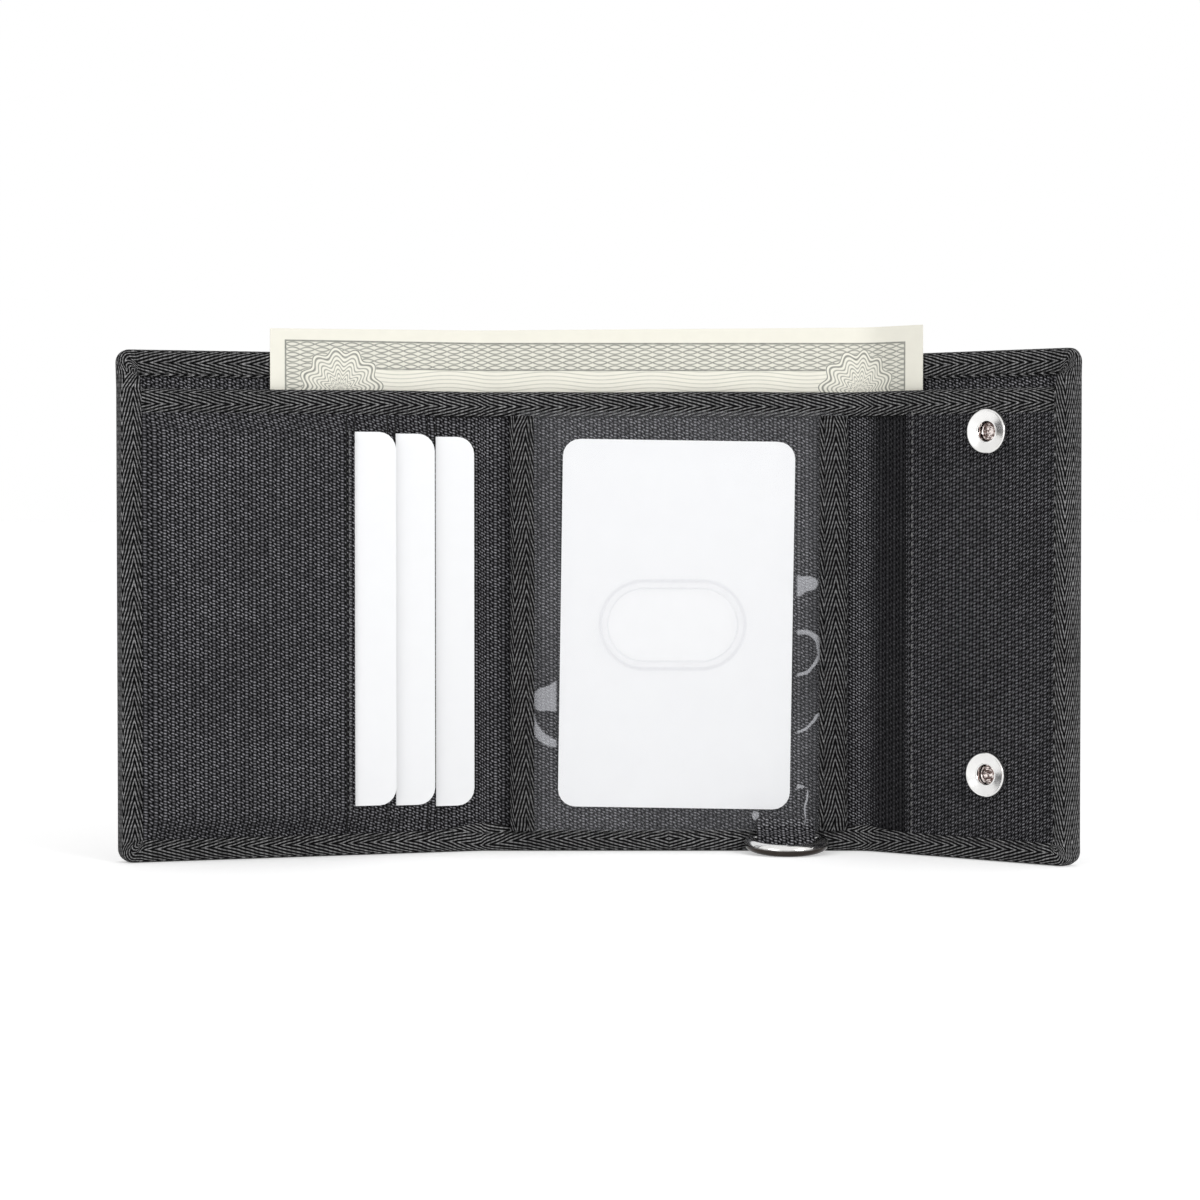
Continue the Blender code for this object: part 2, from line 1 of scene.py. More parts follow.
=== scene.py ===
"""Looks of the trifold wallet: woven nylon panels, ribbed tapes, vinyl window, snaps, ring and note."""
import json
import math

import bmesh
import bpy
from bpy.props import FloatProperty, FloatVectorProperty, PointerProperty
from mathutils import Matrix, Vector, noise


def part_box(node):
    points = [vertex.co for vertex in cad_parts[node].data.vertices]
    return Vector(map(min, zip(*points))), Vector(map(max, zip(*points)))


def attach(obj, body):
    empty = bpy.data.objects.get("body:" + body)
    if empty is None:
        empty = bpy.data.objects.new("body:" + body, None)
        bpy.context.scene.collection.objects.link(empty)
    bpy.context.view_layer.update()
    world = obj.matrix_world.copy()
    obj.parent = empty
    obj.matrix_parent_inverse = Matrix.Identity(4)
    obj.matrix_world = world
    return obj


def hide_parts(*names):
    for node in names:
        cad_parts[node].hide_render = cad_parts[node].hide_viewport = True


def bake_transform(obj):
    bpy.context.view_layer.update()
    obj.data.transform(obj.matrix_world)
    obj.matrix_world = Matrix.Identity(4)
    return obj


bl_info = {
    "name": "Trifold wallet looks",
    "version": (1, 0, 0),
    "blender": (4, 5, 0),
    "location": "View3D > Sidebar > Wallet",
    "description": "Dresses the trifold wallet's solids in fabric, tape, vinyl, metal and paper",
    "category": "Object",
}

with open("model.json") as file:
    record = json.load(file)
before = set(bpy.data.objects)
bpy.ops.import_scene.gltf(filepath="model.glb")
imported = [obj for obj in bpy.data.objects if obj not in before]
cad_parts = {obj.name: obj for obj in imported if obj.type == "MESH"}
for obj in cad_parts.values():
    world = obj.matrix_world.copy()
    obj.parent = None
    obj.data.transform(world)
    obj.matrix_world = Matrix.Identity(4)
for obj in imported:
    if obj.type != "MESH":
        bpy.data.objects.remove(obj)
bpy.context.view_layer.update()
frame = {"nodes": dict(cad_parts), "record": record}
MM = 0.001
SIDES = ("left", "right")


def joint_named(name):
    """Finds a joint of the packed record."""
    for joint in frame["record"]["behaviour"]["joints"]:
        if joint["name"] == name:
            return joint
    raise RuntimeError("no joint named " + name)


def node_box(name):
    """A node's corners in millimetres."""
    low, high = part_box(name)
    return [value / MM for value in low], [value / MM for value in high]


LEFT_JOINT, RIGHT_JOINT = joint_named("left_fold"), joint_named("right_fold")
LEFT_AXIS, RIGHT_AXIS = Vector(LEFT_JOINT["pos_m"]) / MM, Vector(RIGHT_JOINT["pos_m"]) / MM
RING_AXIS = Vector(joint_named("d_ring_swing")["pos_m"]) / MM
BACK_Y = node_box("shell_centre")[1][1]
LEFT_H, RIGHT_H = BACK_Y - LEFT_AXIS.y, BACK_Y - RIGHT_AXIS.y
LEFT_ARC = LEFT_H * math.radians(-LEFT_JOINT["range_deg"][0])
RIGHT_ARC = RIGHT_H * math.radians(-RIGHT_JOINT["range_deg"][0])
HALF = RIGHT_AXIS.x
HEIGHT = node_box("shell_top_binding_centre")[1][2]
LINER_TOP = node_box("liner_top_tape_centre")[1][2]

# Lengths of the flat wings from each fold axis, as the solids have them. All lengths here are millimetres.
LEFT_LENGTH = 84.2
RIGHT_LENGTH = 52.5
LEFT_EDGE = -HALF - LEFT_ARC - LEFT_LENGTH
RIGHT_EDGE = HALF + RIGHT_ARC + RIGHT_LENGTH

# Layers, forward of the shell's back, and thicknesses of the cloth
SHELL_FRONT = 0.7
NOTE_FRONT = 2.2
LINER_FRONT = 4.0
SLIP_FRONT = 4.7
FILM_FRONT = 6.46
SHELL_CLOTH, LINER_CLOTH, POCKET_CLOTH = 0.7, 0.5, 0.4

# How far the fabric's bend would reach from each fold axis, into the wings and into the centre; no bend is
# made from them
LEFT_BLEND, RIGHT_BLEND, CENTRE_BLEND = 9.0, 8.0, 6.0

# Spacing of points along tapes and halves, and steps of a full turn of the snaps
LENGTH_STEP = 1.5
LATHE_STEPS = 56

# Binding tapes: the wallet's corners, the panels' inset under the tape, the tape's thickness, widths, and
# how far back and forward each tape reaches. A window tape has its edges and the seed of its waver.
CORNER = 3.0
EDGE_INSET = 0.8
TAPE = 0.5
BINDING_BACK = -0.8
TOP_BINDING, TOP_FRONT = 6.0, 1.5
CORNER_FRONT = 2.3
BOTTOM_BINDING, BOTTOM_FRONT = 5.1, 5.05
LINER_TAPE, LINER_TAPE_BACK, LINER_TAPE_FRONT = 5.65, 2.7, 4.8
WINDOW_TAPE_BACK, WINDOW_TAPE_FRONT = 5.36, 7.2
WINDOW_TAPES = (("left", -37.0, -31.4, 8), ("right", 41.5, 35.0, 9))
WINDOW_TAPE_ENDS = (4.9, 101.4)

# Outer edge, way inwards, side tape's width, fold's middle and the bottom tape's rise there
BINDING_SIDES = {"left": (LEFT_EDGE, 1, 5.0, -HALF - LEFT_ARC / 2, 1.6),
                 "right": (RIGHT_EDGE, -1, 4.2, HALF + RIGHT_ARC / 2, 1.1)}

# Card pockets from front to back: name, free and sewn edges from the fold axis, and how far the free
# edge stands forward; then their sewn front, foot and top, the ridges over the cards' edges, and how far
# a free edge is drawn back where it is pressed down
CARD_POCKETS = (("front", 31.1, 79.9, 9.28), ("middle", 21.0, 76.2, 7.52), ("back", 11.0, 76.2, 5.76))
SEWN_FRONT = 4.75
POCKET_ENDS = (4.6, 101.6)
CARD_RIDGES = (75.2, 69.5, 64.5)
EDGE_PULL = 0.27

# Slip pocket: free and sewn edges from the fold axis, foot and top
SLIP_EDGE, SLIP_OUTER = 9.0, 49.0
SLIP_ENDS = (4.8, 102.4)

# Places along the liner by the right fold: painted light makes it lighter from the first to the second, and
# painted shade makes it darker from the third to the fourth
LINER_GUTTER = (HALF - 3.0, HALF - 1.0, HALF + 2.0, HALF + 10.5)

# Snaps: distance from the fold axis, names, hole in the slip pocket, and heights
SNAP_T = 31.4
STUD_T = 2 * HALF - SNAP_T
SNAP_LEVELS = ("upper", "lower")
SNAP_ROOM = 3.4
SNAP_BOXES = [node_box("snap_socket_" + level) for level in SNAP_LEVELS]
SNAP_HEIGHTS = [(low[2] + high[2]) / 2 for low, high in SNAP_BOXES]

# Window: the film's sides, its points from the thumb hole outwards, the raised lines round the hole, and
# the card behind
FILM_LEFT, FILM_RIGHT, FILM_LOW, FILM_HIGH = -36.2, 40.7, 4.9, 102.4
FILM_THICK = 0.3
FILM_STEPS = 96
FILM_SHARES = (0.0, 0.035, 0.07, 0.11, 0.16, 0.3, 0.5, 0.75, 1.0)
RIM_SHARES, RIM_RISE = (0.0, 0.07), 0.16
THUMB_CENTRE = (0.75, 52.9)
THUMB_HALF = (14.9, 8.3)
RIM_STEP = 1.9
CARD_LOW, CARD_HIGH = node_box("id_card")
CARD_MIDDLE = (CARD_LOW[0] + CARD_HIGH[0]) / 2
CARD_REACH = (CARD_HIGH[0] - CARD_LOW[0]) / 2
CARD_FOOT = CARD_LOW[2]

# Note: its ends, foot and top, the foot of its print, its thickness, and its size in metres
NOTE_FIRST, NOTE_LAST = 49.1, 11.7
NOTE_FOOT, NOTE_TOP = 55.9, 122.2
PRINT_FOOT = 55.6
NOTE_PAPER = 0.2
NOTE_SIZE = (0.156, 0.0663)

# Underside of the ring: the middle and half width of its band of painted dark reflection, in steps round the
# wire
RING_UNDERSIDE = (10.0, 5.3)

# The ring's tab: half its width, and its front leg, outside then inside, from the bar's middle
TAB_HALF = 6.7
TAB_FRONT = ((2.25, 0.9), (2.1, 1.5), (1.5, 1.85), (0.2, 2.05), (-0.6, 2.5), (-0.95, 3.6), (-1.1, 4.8),
             (-1.2, 5.4))
TAB_INSIDE = ((-1.65, 5.4), (-1.6, 4.6), (-1.5, 3.5), (-1.2, 2.2), (-0.2, 1.55), (1.2, 1.3), (1.65, 0.7))

# Marks where the vinyl clings: centre, half size, lean, outline width (0 for a filled one) and top
CONTACT_MARKS = (
    ((28.2, 61.9), (6.6, 2.4), 4.0, 0.0, 80.0),
    ((27.2, 45.6), (8.0, 4.9), 16.0, 0.10, 80.0),
    ((31.0, 28.9), (7.5, 0.42), 28.0, 0.0, 80.0),
    ((-25.2, 36.3), (6.9, 3.3), 12.0, 0.0, 80.0),
    ((-20.6, 38.0), (12.0, 13.4), 0.0, 0.09, 32.4),
    ((31.7, 9.6), (0.26, 5.2), -6.0, 0.0, 80.0),
    ((29.8, 14.8), (1.9, 0.26), 10.0, 0.0, 80.0),
    ((20.2, 8.4), (0.9, 1.2), 20.0, 0.0, 80.0),
)

# Part of the pitch that each stitch of a closed row fills; closed rows of black thread also make lines of
# painted shadow
CLOSED_ROW_SHARE = 1.05


def left_s(t):
    """Flat coordinate of a point t from the left fold axis."""
    return -HALF - LEFT_ARC - t


def left_t(s):
    """Distance of a flat coordinate from the left fold axis."""
    return -s - HALF - LEFT_ARC


def right_s(t):
    """Flat coordinate of a point t from the right fold axis."""
    return HALF + RIGHT_ARC + t


# Ends of the liner's tape and of the long stitch rows, the side rows' places, and how far forward they lie
LINER_TAPE_ENDS = (left_s(80.4), right_s(49.2))
STITCH_ENDS = (left_s(79.0), right_s(48.0))
SIDE_STITCHES = {"left": left_s(80.0), "right": right_s(49.1)}
FRONT_STITCH, BACK_STITCH = 5.12, -0.9


def fold_point(s, n, z):
    """Place at rest of a flat point: s along the wallet, n forward of the shell's back, z up."""
    if abs(s) <= HALF:
        return Vector((s, BACK_Y - n, z)) * MM
    sign, axis, radius, arc = (1, RIGHT_AXIS, RIGHT_H, RIGHT_ARC)
    if s < 0:
        sign, axis, radius, arc = (-1, LEFT_AXIS, LEFT_H, LEFT_ARC)
    along = abs(s) - HALF
    angle = -sign * min(along, arc) / radius
    x = sign * max(along - arc, 0.0)
    y = radius - n
    turned_x = x * math.cos(angle) - y * math.sin(angle)
    turned_y = x * math.sin(angle) + y * math.cos(angle)
    return Vector((axis.x + turned_x, axis.y + turned_y, z)) * MM


def length_property(label, words, value):
    """A length in metres that a user can change."""
    return FloatProperty(name=label, description=words, default=value, unit="LENGTH", precision=5)


def colour_property(label, words, value):
    """A colour that a user can change."""
    return FloatVectorProperty(
        name=label, description=words, default=value, size=3, min=0.0, max=1.0, subtype="COLOR")


class WalletSizes(bpy.types.PropertyGroup):
    """Sizes of the fine detail."""

    weave_pitch: length_property("Weave pitch", "Spacing of the nylon's yarns along the wallet", 0.00093)
    weave_rise: length_property("Weave rise", "Spacing of the nylon's yarns up the wallet", 0.00066)
    rib_pitch: length_property("Rib pitch", "Spacing of the ribs of the binding tape", 0.00076)
    rib_turn: length_property("Rib turn", "Width of tape after which the ribs slant the other way", 0.0028)
    stitch_pitch: length_property("Stitch pitch", "Distance from stitch to stitch", 0.0021)
    thread: length_property("Thread", "Thickness of the sewing thread", 0.00036)
    slack: length_property("Slack", "How far the fabric wanders from flat", 0.00022)


class WalletColours(bpy.types.PropertyGroup):
    """Colours of the finishes."""

    nylon_dark: colour_property("Nylon gaps", "Colour between the nylon's yarns", (0.0012, 0.0012, 0.0018))
    nylon_light: colour_property("Nylon yarn", "Colour of the nylon's raised yarns", (0.325, 0.322, 0.346))
    tape_dark: colour_property("Tape gaps", "Colour between the tape's ribs", (0.0015, 0.0015, 0.0018))
    tape_light: colour_property("Tape ribs", "Colour of the tape's ribs", (0.370, 0.368, 0.372))
    card: colour_property("Card", "Colour of the blank cards", (0.900, 0.905, 0.918))
    vinyl: colour_property("Vinyl", "Tint of the clear window", (0.84, 0.85, 0.90))
    # The rim colour is painted shade of the embossed lines round the thumb hole
    rim: colour_property("Rim", "Colour of the embossed lines round the thumb hole", (0.36, 0.36, 0.44))
    paper: colour_property("Paper", "Colour of the note's paper", (0.900, 0.880, 0.780))
    ink: colour_property("Ink", "Colour of the note's printed lines", (0.17, 0.18, 0.16))
    # The ring's underside gets this colour as a painted dark reflection
    painted_reflection: colour_property("Painted reflection", "Colour of the ring's darkened underside", (0.045, 0.038, 0.034))
    metal: colour_property("Metal", "Colour of the nickel plate", (0.88, 0.872, 0.86))


# Node helpers

def add_node(tree, kind, **settings):
    """Adds a node and sets its plain properties."""
    node = tree.nodes.new(kind)
    for key, value in settings.items():
        setattr(node, key, value)
    return node


def plug(tree, target, value):
    """Links or sets one input socket."""
    if isinstance(value, Signal):
        tree.links.new(value.socket, target)
    else:
        target.default_value = value


class Signal:
    """An output in a node tree; arithmetic on it adds math nodes."""

    def __init__(self, tree, socket):
        self.tree, self.socket = tree, socket

    def math(self, operation, *others, before=()):
        """A math node's output, with this value among its inputs."""
        node = add_node(self.tree, "ShaderNodeMath", operation=operation)
        for socket, value in zip(node.inputs, (*before, self, *others)):
            plug(self.tree, socket, value)
        return Signal(self.tree, node.outputs[0])

    def into(self, node, label):
        """Links this value to a node's input."""
        self.tree.links.new(self.socket, node.inputs[label])

    def clamped(self):
        """Keeps the last math node's output between 0 and 1."""
        self.socket.node.use_clamp = True
        return self

    def higher(self, other):
        """The larger of two values."""
        return self.math("MAXIMUM", other)

    def __add__(self, other):
        return self.math("ADD", other)

    def __sub__(self, other):
        return self.math("SUBTRACT", other)

    def __rsub__(self, other):
        return self.math("SUBTRACT", before=(other,))

    def __mul__(self, other):
        return self.math("MULTIPLY", other)

    def __truediv__(self, other):
        return self.math("DIVIDE", other)

    def __pow__(self, other):
        return self.math("POWER", other)

    def __abs__(self):
        return self.math("ABSOLUTE")

    __radd__, __rmul__ = __add__, __mul__


def rgba(colour):
    """A colour with full alpha."""
    return (*colour, 1.0)


def scaled(colour, share):
    """A lighter or darker version of a colour."""
    return tuple(min(value * share, 1.0) for value in colour)


def mix_colour(factor, first, second):
    """A mix of two colours, each plain or from a node."""
    node = add_node(factor.tree, "ShaderNodeMix", data_type="RGBA")
    factor.into(node, 0)
    for index, value in ((6, first), (7, second)):
        plug(factor.tree, node.inputs[index], value if isinstance(value, Signal) else rgba(value))
    return Signal(factor.tree, node.outputs[2])


def smooth(value, low, high):
    """A smooth step from low to high."""
    node = add_node(value.tree, "ShaderNodeMapRange", interpolation_type="SMOOTHSTEP")
    for label, setting in (("Value", value), ("From Min", low), ("From Max", high)):
        plug(value.tree, node.inputs[label], setting)
    return Signal(value.tree, node.outputs["Result"])


def noise_value(place, scale, detail=2.0):
    """A noise texture's value at a place."""
    node = add_node(place.tree, "ShaderNodeTexNoise")
    for label, setting in (("Vector", place), ("Scale", scale), ("Detail", detail)):
        plug(place.tree, node.inputs[label], setting)
    return Signal(place.tree, node.outputs["Fac"])


def split(place):
    """The first two parts of a place."""
    node = add_node(place.tree, "ShaderNodeSeparateXYZ")
    place.into(node, 0)
    return Signal(place.tree, node.outputs[0]), Signal(place.tree, node.outputs[1])


def cell_shade(column, row):
    """A random value for each cell of whole columns and rows."""
    cell = add_node(column.tree, "ShaderNodeCombineXYZ")
    column.into(cell, 0)
    row.into(cell, 1)
    random = add_node(column.tree, "ShaderNodeTexWhiteNoise")
    Signal(column.tree, cell.outputs[0]).into(random, "Vector")
    return Signal(column.tree, random.outputs["Value"])


def cloth_place(tree):
    """A piece's own flat coordinates."""
    return Signal(tree, add_node(tree, "ShaderNodeUVMap", uv_map="cloth").outputs[0])


def object_place(tree):
    """Coordinates in the piece's space."""
    return Signal(tree, add_node(tree, "ShaderNodeTexCoord").outputs["Object"])


def made_once(store):
    """Lets a maker of named data return what already has that name."""
    def wrap(make):
        def find(name, *values, **settings):
            return getattr(bpy.data, store).get(name) or make(name, *values, **settings)
        find.__doc__ = make.__doc__
        return find
    return wrap


def new_group(name, inputs, outputs):
    """A shader node group with named sockets: the group, its inputs' values and its output node."""
    group = bpy.data.node_groups.new(name, "ShaderNodeTree")
    for way, labels in (("INPUT", inputs), ("OUTPUT", outputs)):
        for label in labels:
            kind = "NodeSocketVector" if label == "Vector" else "NodeSocketFloat"
            group.interface.new_socket(label, in_out=way, socket_type=kind)
    enter = add_node(group, "NodeGroupInput")
    values = {label: Signal(group, enter.outputs[label]) for label in inputs}
    return group, values, add_node(group, "NodeGroupOutput")


def place_group(tree, group, **values):
    """Puts a node group into a material with its own values and returns its outputs."""
    node = add_node(tree, "ShaderNodeGroup", node_tree=group)
    for label, value in values.items():
        plug(tree, node.inputs[label], value)
    return {output.name: Signal(tree, output) for output in node.outputs}


@made_once("node_groups")
def yarn_group(name):
    """Plain weave of raised flecks in columns; every second column sets them left and right in turn."""
    group, enter, leave = new_group(name, ("Vector", "Pitch", "Rise", "Slant"), ("Warp", "Weft", "Shade"))
    along, up = split(enter["Vector"])
    shift = (noise_value(enter["Vector"], 420.0) - 0.5) * 0.4
    x = along / enter["Pitch"] + shift
    column = x.math("FLOOR")
    second = column.math("FLOORED_MODULO", 2.0)
    from_column = x.math("FRACT") - 0.5
    y = up / enter["Rise"] + shift + column * 0.5 + from_column * (enter["Slant"] * (0.5 + second))
    row = y.math("FLOOR")
    from_row = abs(y.math("FRACT") - 0.5)
    side = (row.math("FLOORED_MODULO", 2.0) - 0.5) * second * 0.34
    across = (abs(from_column - side) * (1.5 + second * 0.25)) ** 2.0
    (1.0 - (across + (from_row * 2.5) ** 2.0)).clamped().into(leave, "Warp")
    (1.0 - (across + ((0.5 - from_row) * 3.4) ** 2.0)).clamped().into(leave, "Weft")
    cell_shade(column, row).into(leave, "Shade")
    return group


@made_once("node_groups")
def rib_group(name):
    """Long ribs that run nearly along a tape and turn back across it in a herringbone."""
    group, enter, leave = new_group(name, ("Vector", "Pitch", "Turn"), ("Rib", "Shade"))
    along, across = split(enter["Vector"])
    wander = noise_value(enter["Vector"], 260.0) - 0.5
    place = (across.math("PINGPONG", enter["Turn"]) + along * 0.29) / enter["Pitch"] + wander * 0.7
    rib = (1.0 - (abs(place.math("FRACT") - 0.5) * 2.1) ** 2.0).clamped()
    yarn = along / (enter["Pitch"] * 1.4) + wander
    gap = (abs(yarn.math("FRACT") - 0.5) * 2.0) ** 3.0
    (rib * (1.0 - gap * 0.16)).into(leave, "Rib")
    cell_shade(place.math("FLOOR"), yarn.math("FLOOR")).into(leave, "Shade")
    return group


@made_once("node_groups")
def fading_group(name):
    """Lightness of single yarns, with broad uneven fading over the cloth."""
    group, enter, leave = new_group(name, ("Vector", "Yarn", "Least", "Spread"), ("Shade",))
    fade = noise_value(enter["Vector"], 38.0, 3.0)
    ((enter["Least"] + enter["Yarn"] * enter["Spread"]) * (0.5 + fade)).into(leave, "Shade")
    return group


def new_material(name, roughness=0.5, metallic=0.0, specular=0.5):
    """A node material with its Principled shader and the wallet's settings."""
    material = bpy.data.materials.new(name)
    material.use_nodes = True
    shader = material.node_tree.nodes["Principled BSDF"]
    for label, value in (("Roughness", roughness), ("Metallic", metallic), ("Specular IOR Level", specular)):
        shader.inputs[label].default_value = value
    return material, material.node_tree, shader


def bump_normal(shader, height, distance, strength):
    """Feeds a height into the shader's normal."""
    node = add_node(height.tree, "ShaderNodeBump")
    node.inputs["Strength"].default_value = strength
    node.inputs["Distance"].default_value = distance
    height.into(node, "Height")
    Signal(height.tree, node.outputs["Normal"]).into(shader, "Normal")


def sizes():
    """The sizes that a user can change."""
    return bpy.context.scene.wallet_sizes


def colours():
    """The colours that a user can change."""
    return bpy.context.scene.wallet_colours


@made_once("materials")
def nylon_material(name, lift, slant=0.5, gutter=None):
    """Charcoal nylon of a coarse plain weave: lift lightens its yarns, slant leans them.

    A gutter by the fold gets lighter between its first two places and darker between its last two.
    """
    material, tree, shader = new_material(name, specular=0.06)
    cloth = cloth_place(tree)
    yarn = place_group(tree, yarn_group("yarn weave"), Vector=cloth, Pitch=sizes().weave_pitch,
                       Rise=sizes().weave_rise, Slant=slant)
    shade = place_group(tree, fading_group("fading"), Vector=cloth, Yarn=yarn["Shade"], Least=0.45,
                        Spread=0.7)["Shade"]
    if gutter:
        # Painted light just before the fold, and painted shade beyond it into the wing
        along = split(cloth)[0]
        painted_light = smooth(along, gutter[0] * MM, gutter[1] * MM)
        painted_shade = smooth(along, gutter[2] * MM, gutter[3] * MM)
        shade = shade * (1.0 + painted_light * 0.15) * (1.0 - painted_shade * 0.82)
    light = scaled(colours().nylon_light, lift)
    base = mix_colour(yarn["Weft"], colours().nylon_dark, scaled(light, 0.09))
    base = mix_colour((yarn["Warp"] ** 3.2 * shade).clamped(), base, light)
    base.into(shader, "Base Color")
    (0.85 - yarn["Warp"] * 0.25).into(shader, "Roughness")
    bump_normal(shader, yarn["Warp"].higher(yarn["Weft"] * 0.6), distance=0.00028, strength=0.9)
    return material


@made_once("materials")
def tape_material(name, lift=1.0):
    """Black herringbone binding tape; lift lightens its ribs."""
    material, tree, shader = new_material(name, specular=0.06)
    cloth = cloth_place(tree)
    weave = place_group(tree, rib_group("tape ribs"), Vector=cloth, Pitch=sizes().rib_pitch,
                        Turn=sizes().rib_turn)
    rib = weave["Rib"]
    shade = place_group(tree, fading_group("fading"), Vector=cloth, Yarn=weave["Shade"], Least=0.55,
                        Spread=0.45)["Shade"]
    light = scaled(colours().tape_light, lift)
    base = mix_colour((rib ** 6.5 * shade).clamped(), colours().tape_dark, light)
    base.into(shader, "Base Color")
    (0.85 - rib * 0.2).into(shader, "Roughness")
    bump_normal(shader, rib, distance=0.0003, strength=0.9)
    return material


@made_once("materials")
def thread_material(name, lift=1.0):
    """Twisted black sewing thread; lift lightens it where it shows against the nylon."""
    material, tree, shader = new_material(name, 0.6, specular=0.15)
    twist = noise_value(object_place(tree), 2600.0, 1.0)
    dark, pale = (0.006 * lift,) * 3, (0.075 * lift,) * 3
    mix_colour(twist, dark, pale).into(shader, "Base Color")
    bump_normal(shader, twist, distance=0.00008, strength=0.6)
    return material


@made_once("materials")
def card_material(name):
    """Blank white card with a faint fleck."""
    material, tree, shader = new_material(name)
    fleck = noise_value(object_place(tree), 240.0, 4.0)
    mix_colour(fleck, scaled(colours().card, 0.97), colours().card).into(shader, "Base Color")
    (0.34 + fleck * 0.18).into(shader, "Roughness")
    bump_normal(shader, fleck, distance=0.00004, strength=0.25)
    return material


def contact_mark(x, y, mark):
    """One mark where the vinyl clings: filled or outlined, a squarish oval that leans, cut off above."""
    centre, half, lean, line, top = mark
    off_x, off_y = x - centre[0] * MM, y - centre[1] * MM
    cos, sin = math.cos(math.radians(lean)), math.sin(math.radians(lean))
    along = abs((off_x * cos + off_y * sin) / (half[0] * MM)) ** 3.0
    across = abs((off_y * cos - off_x * sin) / (half[1] * MM)) ** 3.0
    reach = (along + across) ** (1.0 / 3.0)
    gone = smooth(abs(reach - 1.0), line * 0.6, line) if line else smooth(reach, 0.92, 1.0)
    return (1.0 - gone) * (1.0 - smooth(y, (top - 0.4) * MM, (top + 0.4) * MM))


@made_once("materials")
def vinyl_material(name):
    """Clear vinyl with a faint blue haze, an embossed line round the thumb hole and a few contact marks."""
    material, tree, shader = new_material(name, 0.16)
    cloth = cloth_place(tree)
    x, y = split(cloth)
    bend = (noise_value(cloth, 160.0, 1.0) - 0.5) * 0.0036
    bent_x, bent_y = x + bend, y - bend
    marks = contact_mark(bent_x, bent_y, CONTACT_MARKS[0])
    for mark in CONTACT_MARKS[1:]:
        marks = marks.higher(contact_mark(bent_x, bent_y, mark))
    beside = smooth(abs(x - CARD_MIDDLE * MM), CARD_REACH * MM, (CARD_REACH + 0.8) * MM)
    under = 1.0 - smooth(y, (CARD_FOOT - 0.8) * MM, CARD_FOOT * MM)
    marks = marks * beside.higher(under)
    # Two lines round the thumb hole, at its edge and one step out, are painted shade of the embossing
    cap_x = (abs(x - THUMB_CENTRE[0] * MM) - (THUMB_HALF[0] - THUMB_HALF[1]) * MM).higher(0.0)
    cap_y = y - THUMB_CENTRE[1] * MM
    reach = (cap_x * cap_x + cap_y * cap_y).math("SQRT") - THUMB_HALF[1] * MM
    rim = 1.0 - smooth(abs(reach - RIM_STEP * MM), 0.0001, 0.0007)
    painted_rim_shade = rim.higher(1.0 - smooth(reach, 0.0002, 0.0006))
    haze = 0.010 + noise_value(cloth, 60.0) * 0.022
    (haze + marks * 0.19 + painted_rim_shade * 0.055).clamped().into(shader, "Alpha")
    mix_colour(painted_rim_shade, colours().vinyl, colours().rim).into(shader, "Base Color")
    bump_normal(shader, noise_value(cloth, 130.0), distance=0.0006, strength=0.3)
    return material


@made_once("materials")
def metal_material(name, painted_reflection=None):
    """Polished nickel plate with fine handling marks; a wire may be dark about one line along it."""
    material, tree, shader = new_material(name, metallic=1.0)
    cloud = noise_value(object_place(tree), 500.0, 4.0)
    base = mix_colour(cloud, scaled(colours().metal, 0.84), colours().metal)
    if painted_reflection:
        # A band about one line along the wire is painted dark reflection
        middle, half = painted_reflection
        from_middle = abs(split(cloth_place(tree))[1] - middle * MM) + cloud * (0.6 * MM)
        base = mix_colour(smooth(from_middle, half * MM, (half + 1.2) * MM), colours().painted_reflection, base)
    base.into(shader, "Base Color")
    (0.08 + cloud * 0.14).into(shader, "Roughness")
    bump_normal(shader, cloud, distance=0.00003, strength=0.3)
    return material


@made_once("materials")
def wire_material(name, tone=1.0):
    """Drawn brass-toned wire inside the sockets; tone darkens it."""
    material, tree, shader = new_material(name, 0.24, 1.0)
    cloud = smooth(noise_value(object_place(tree), 1300.0), 0.42, 0.60)
    mix_colour(cloud, scaled((0.30, 0.21, 0.19), tone), (0.86, 0.78, 0.75)).into(shader, "Base Color")
    return material


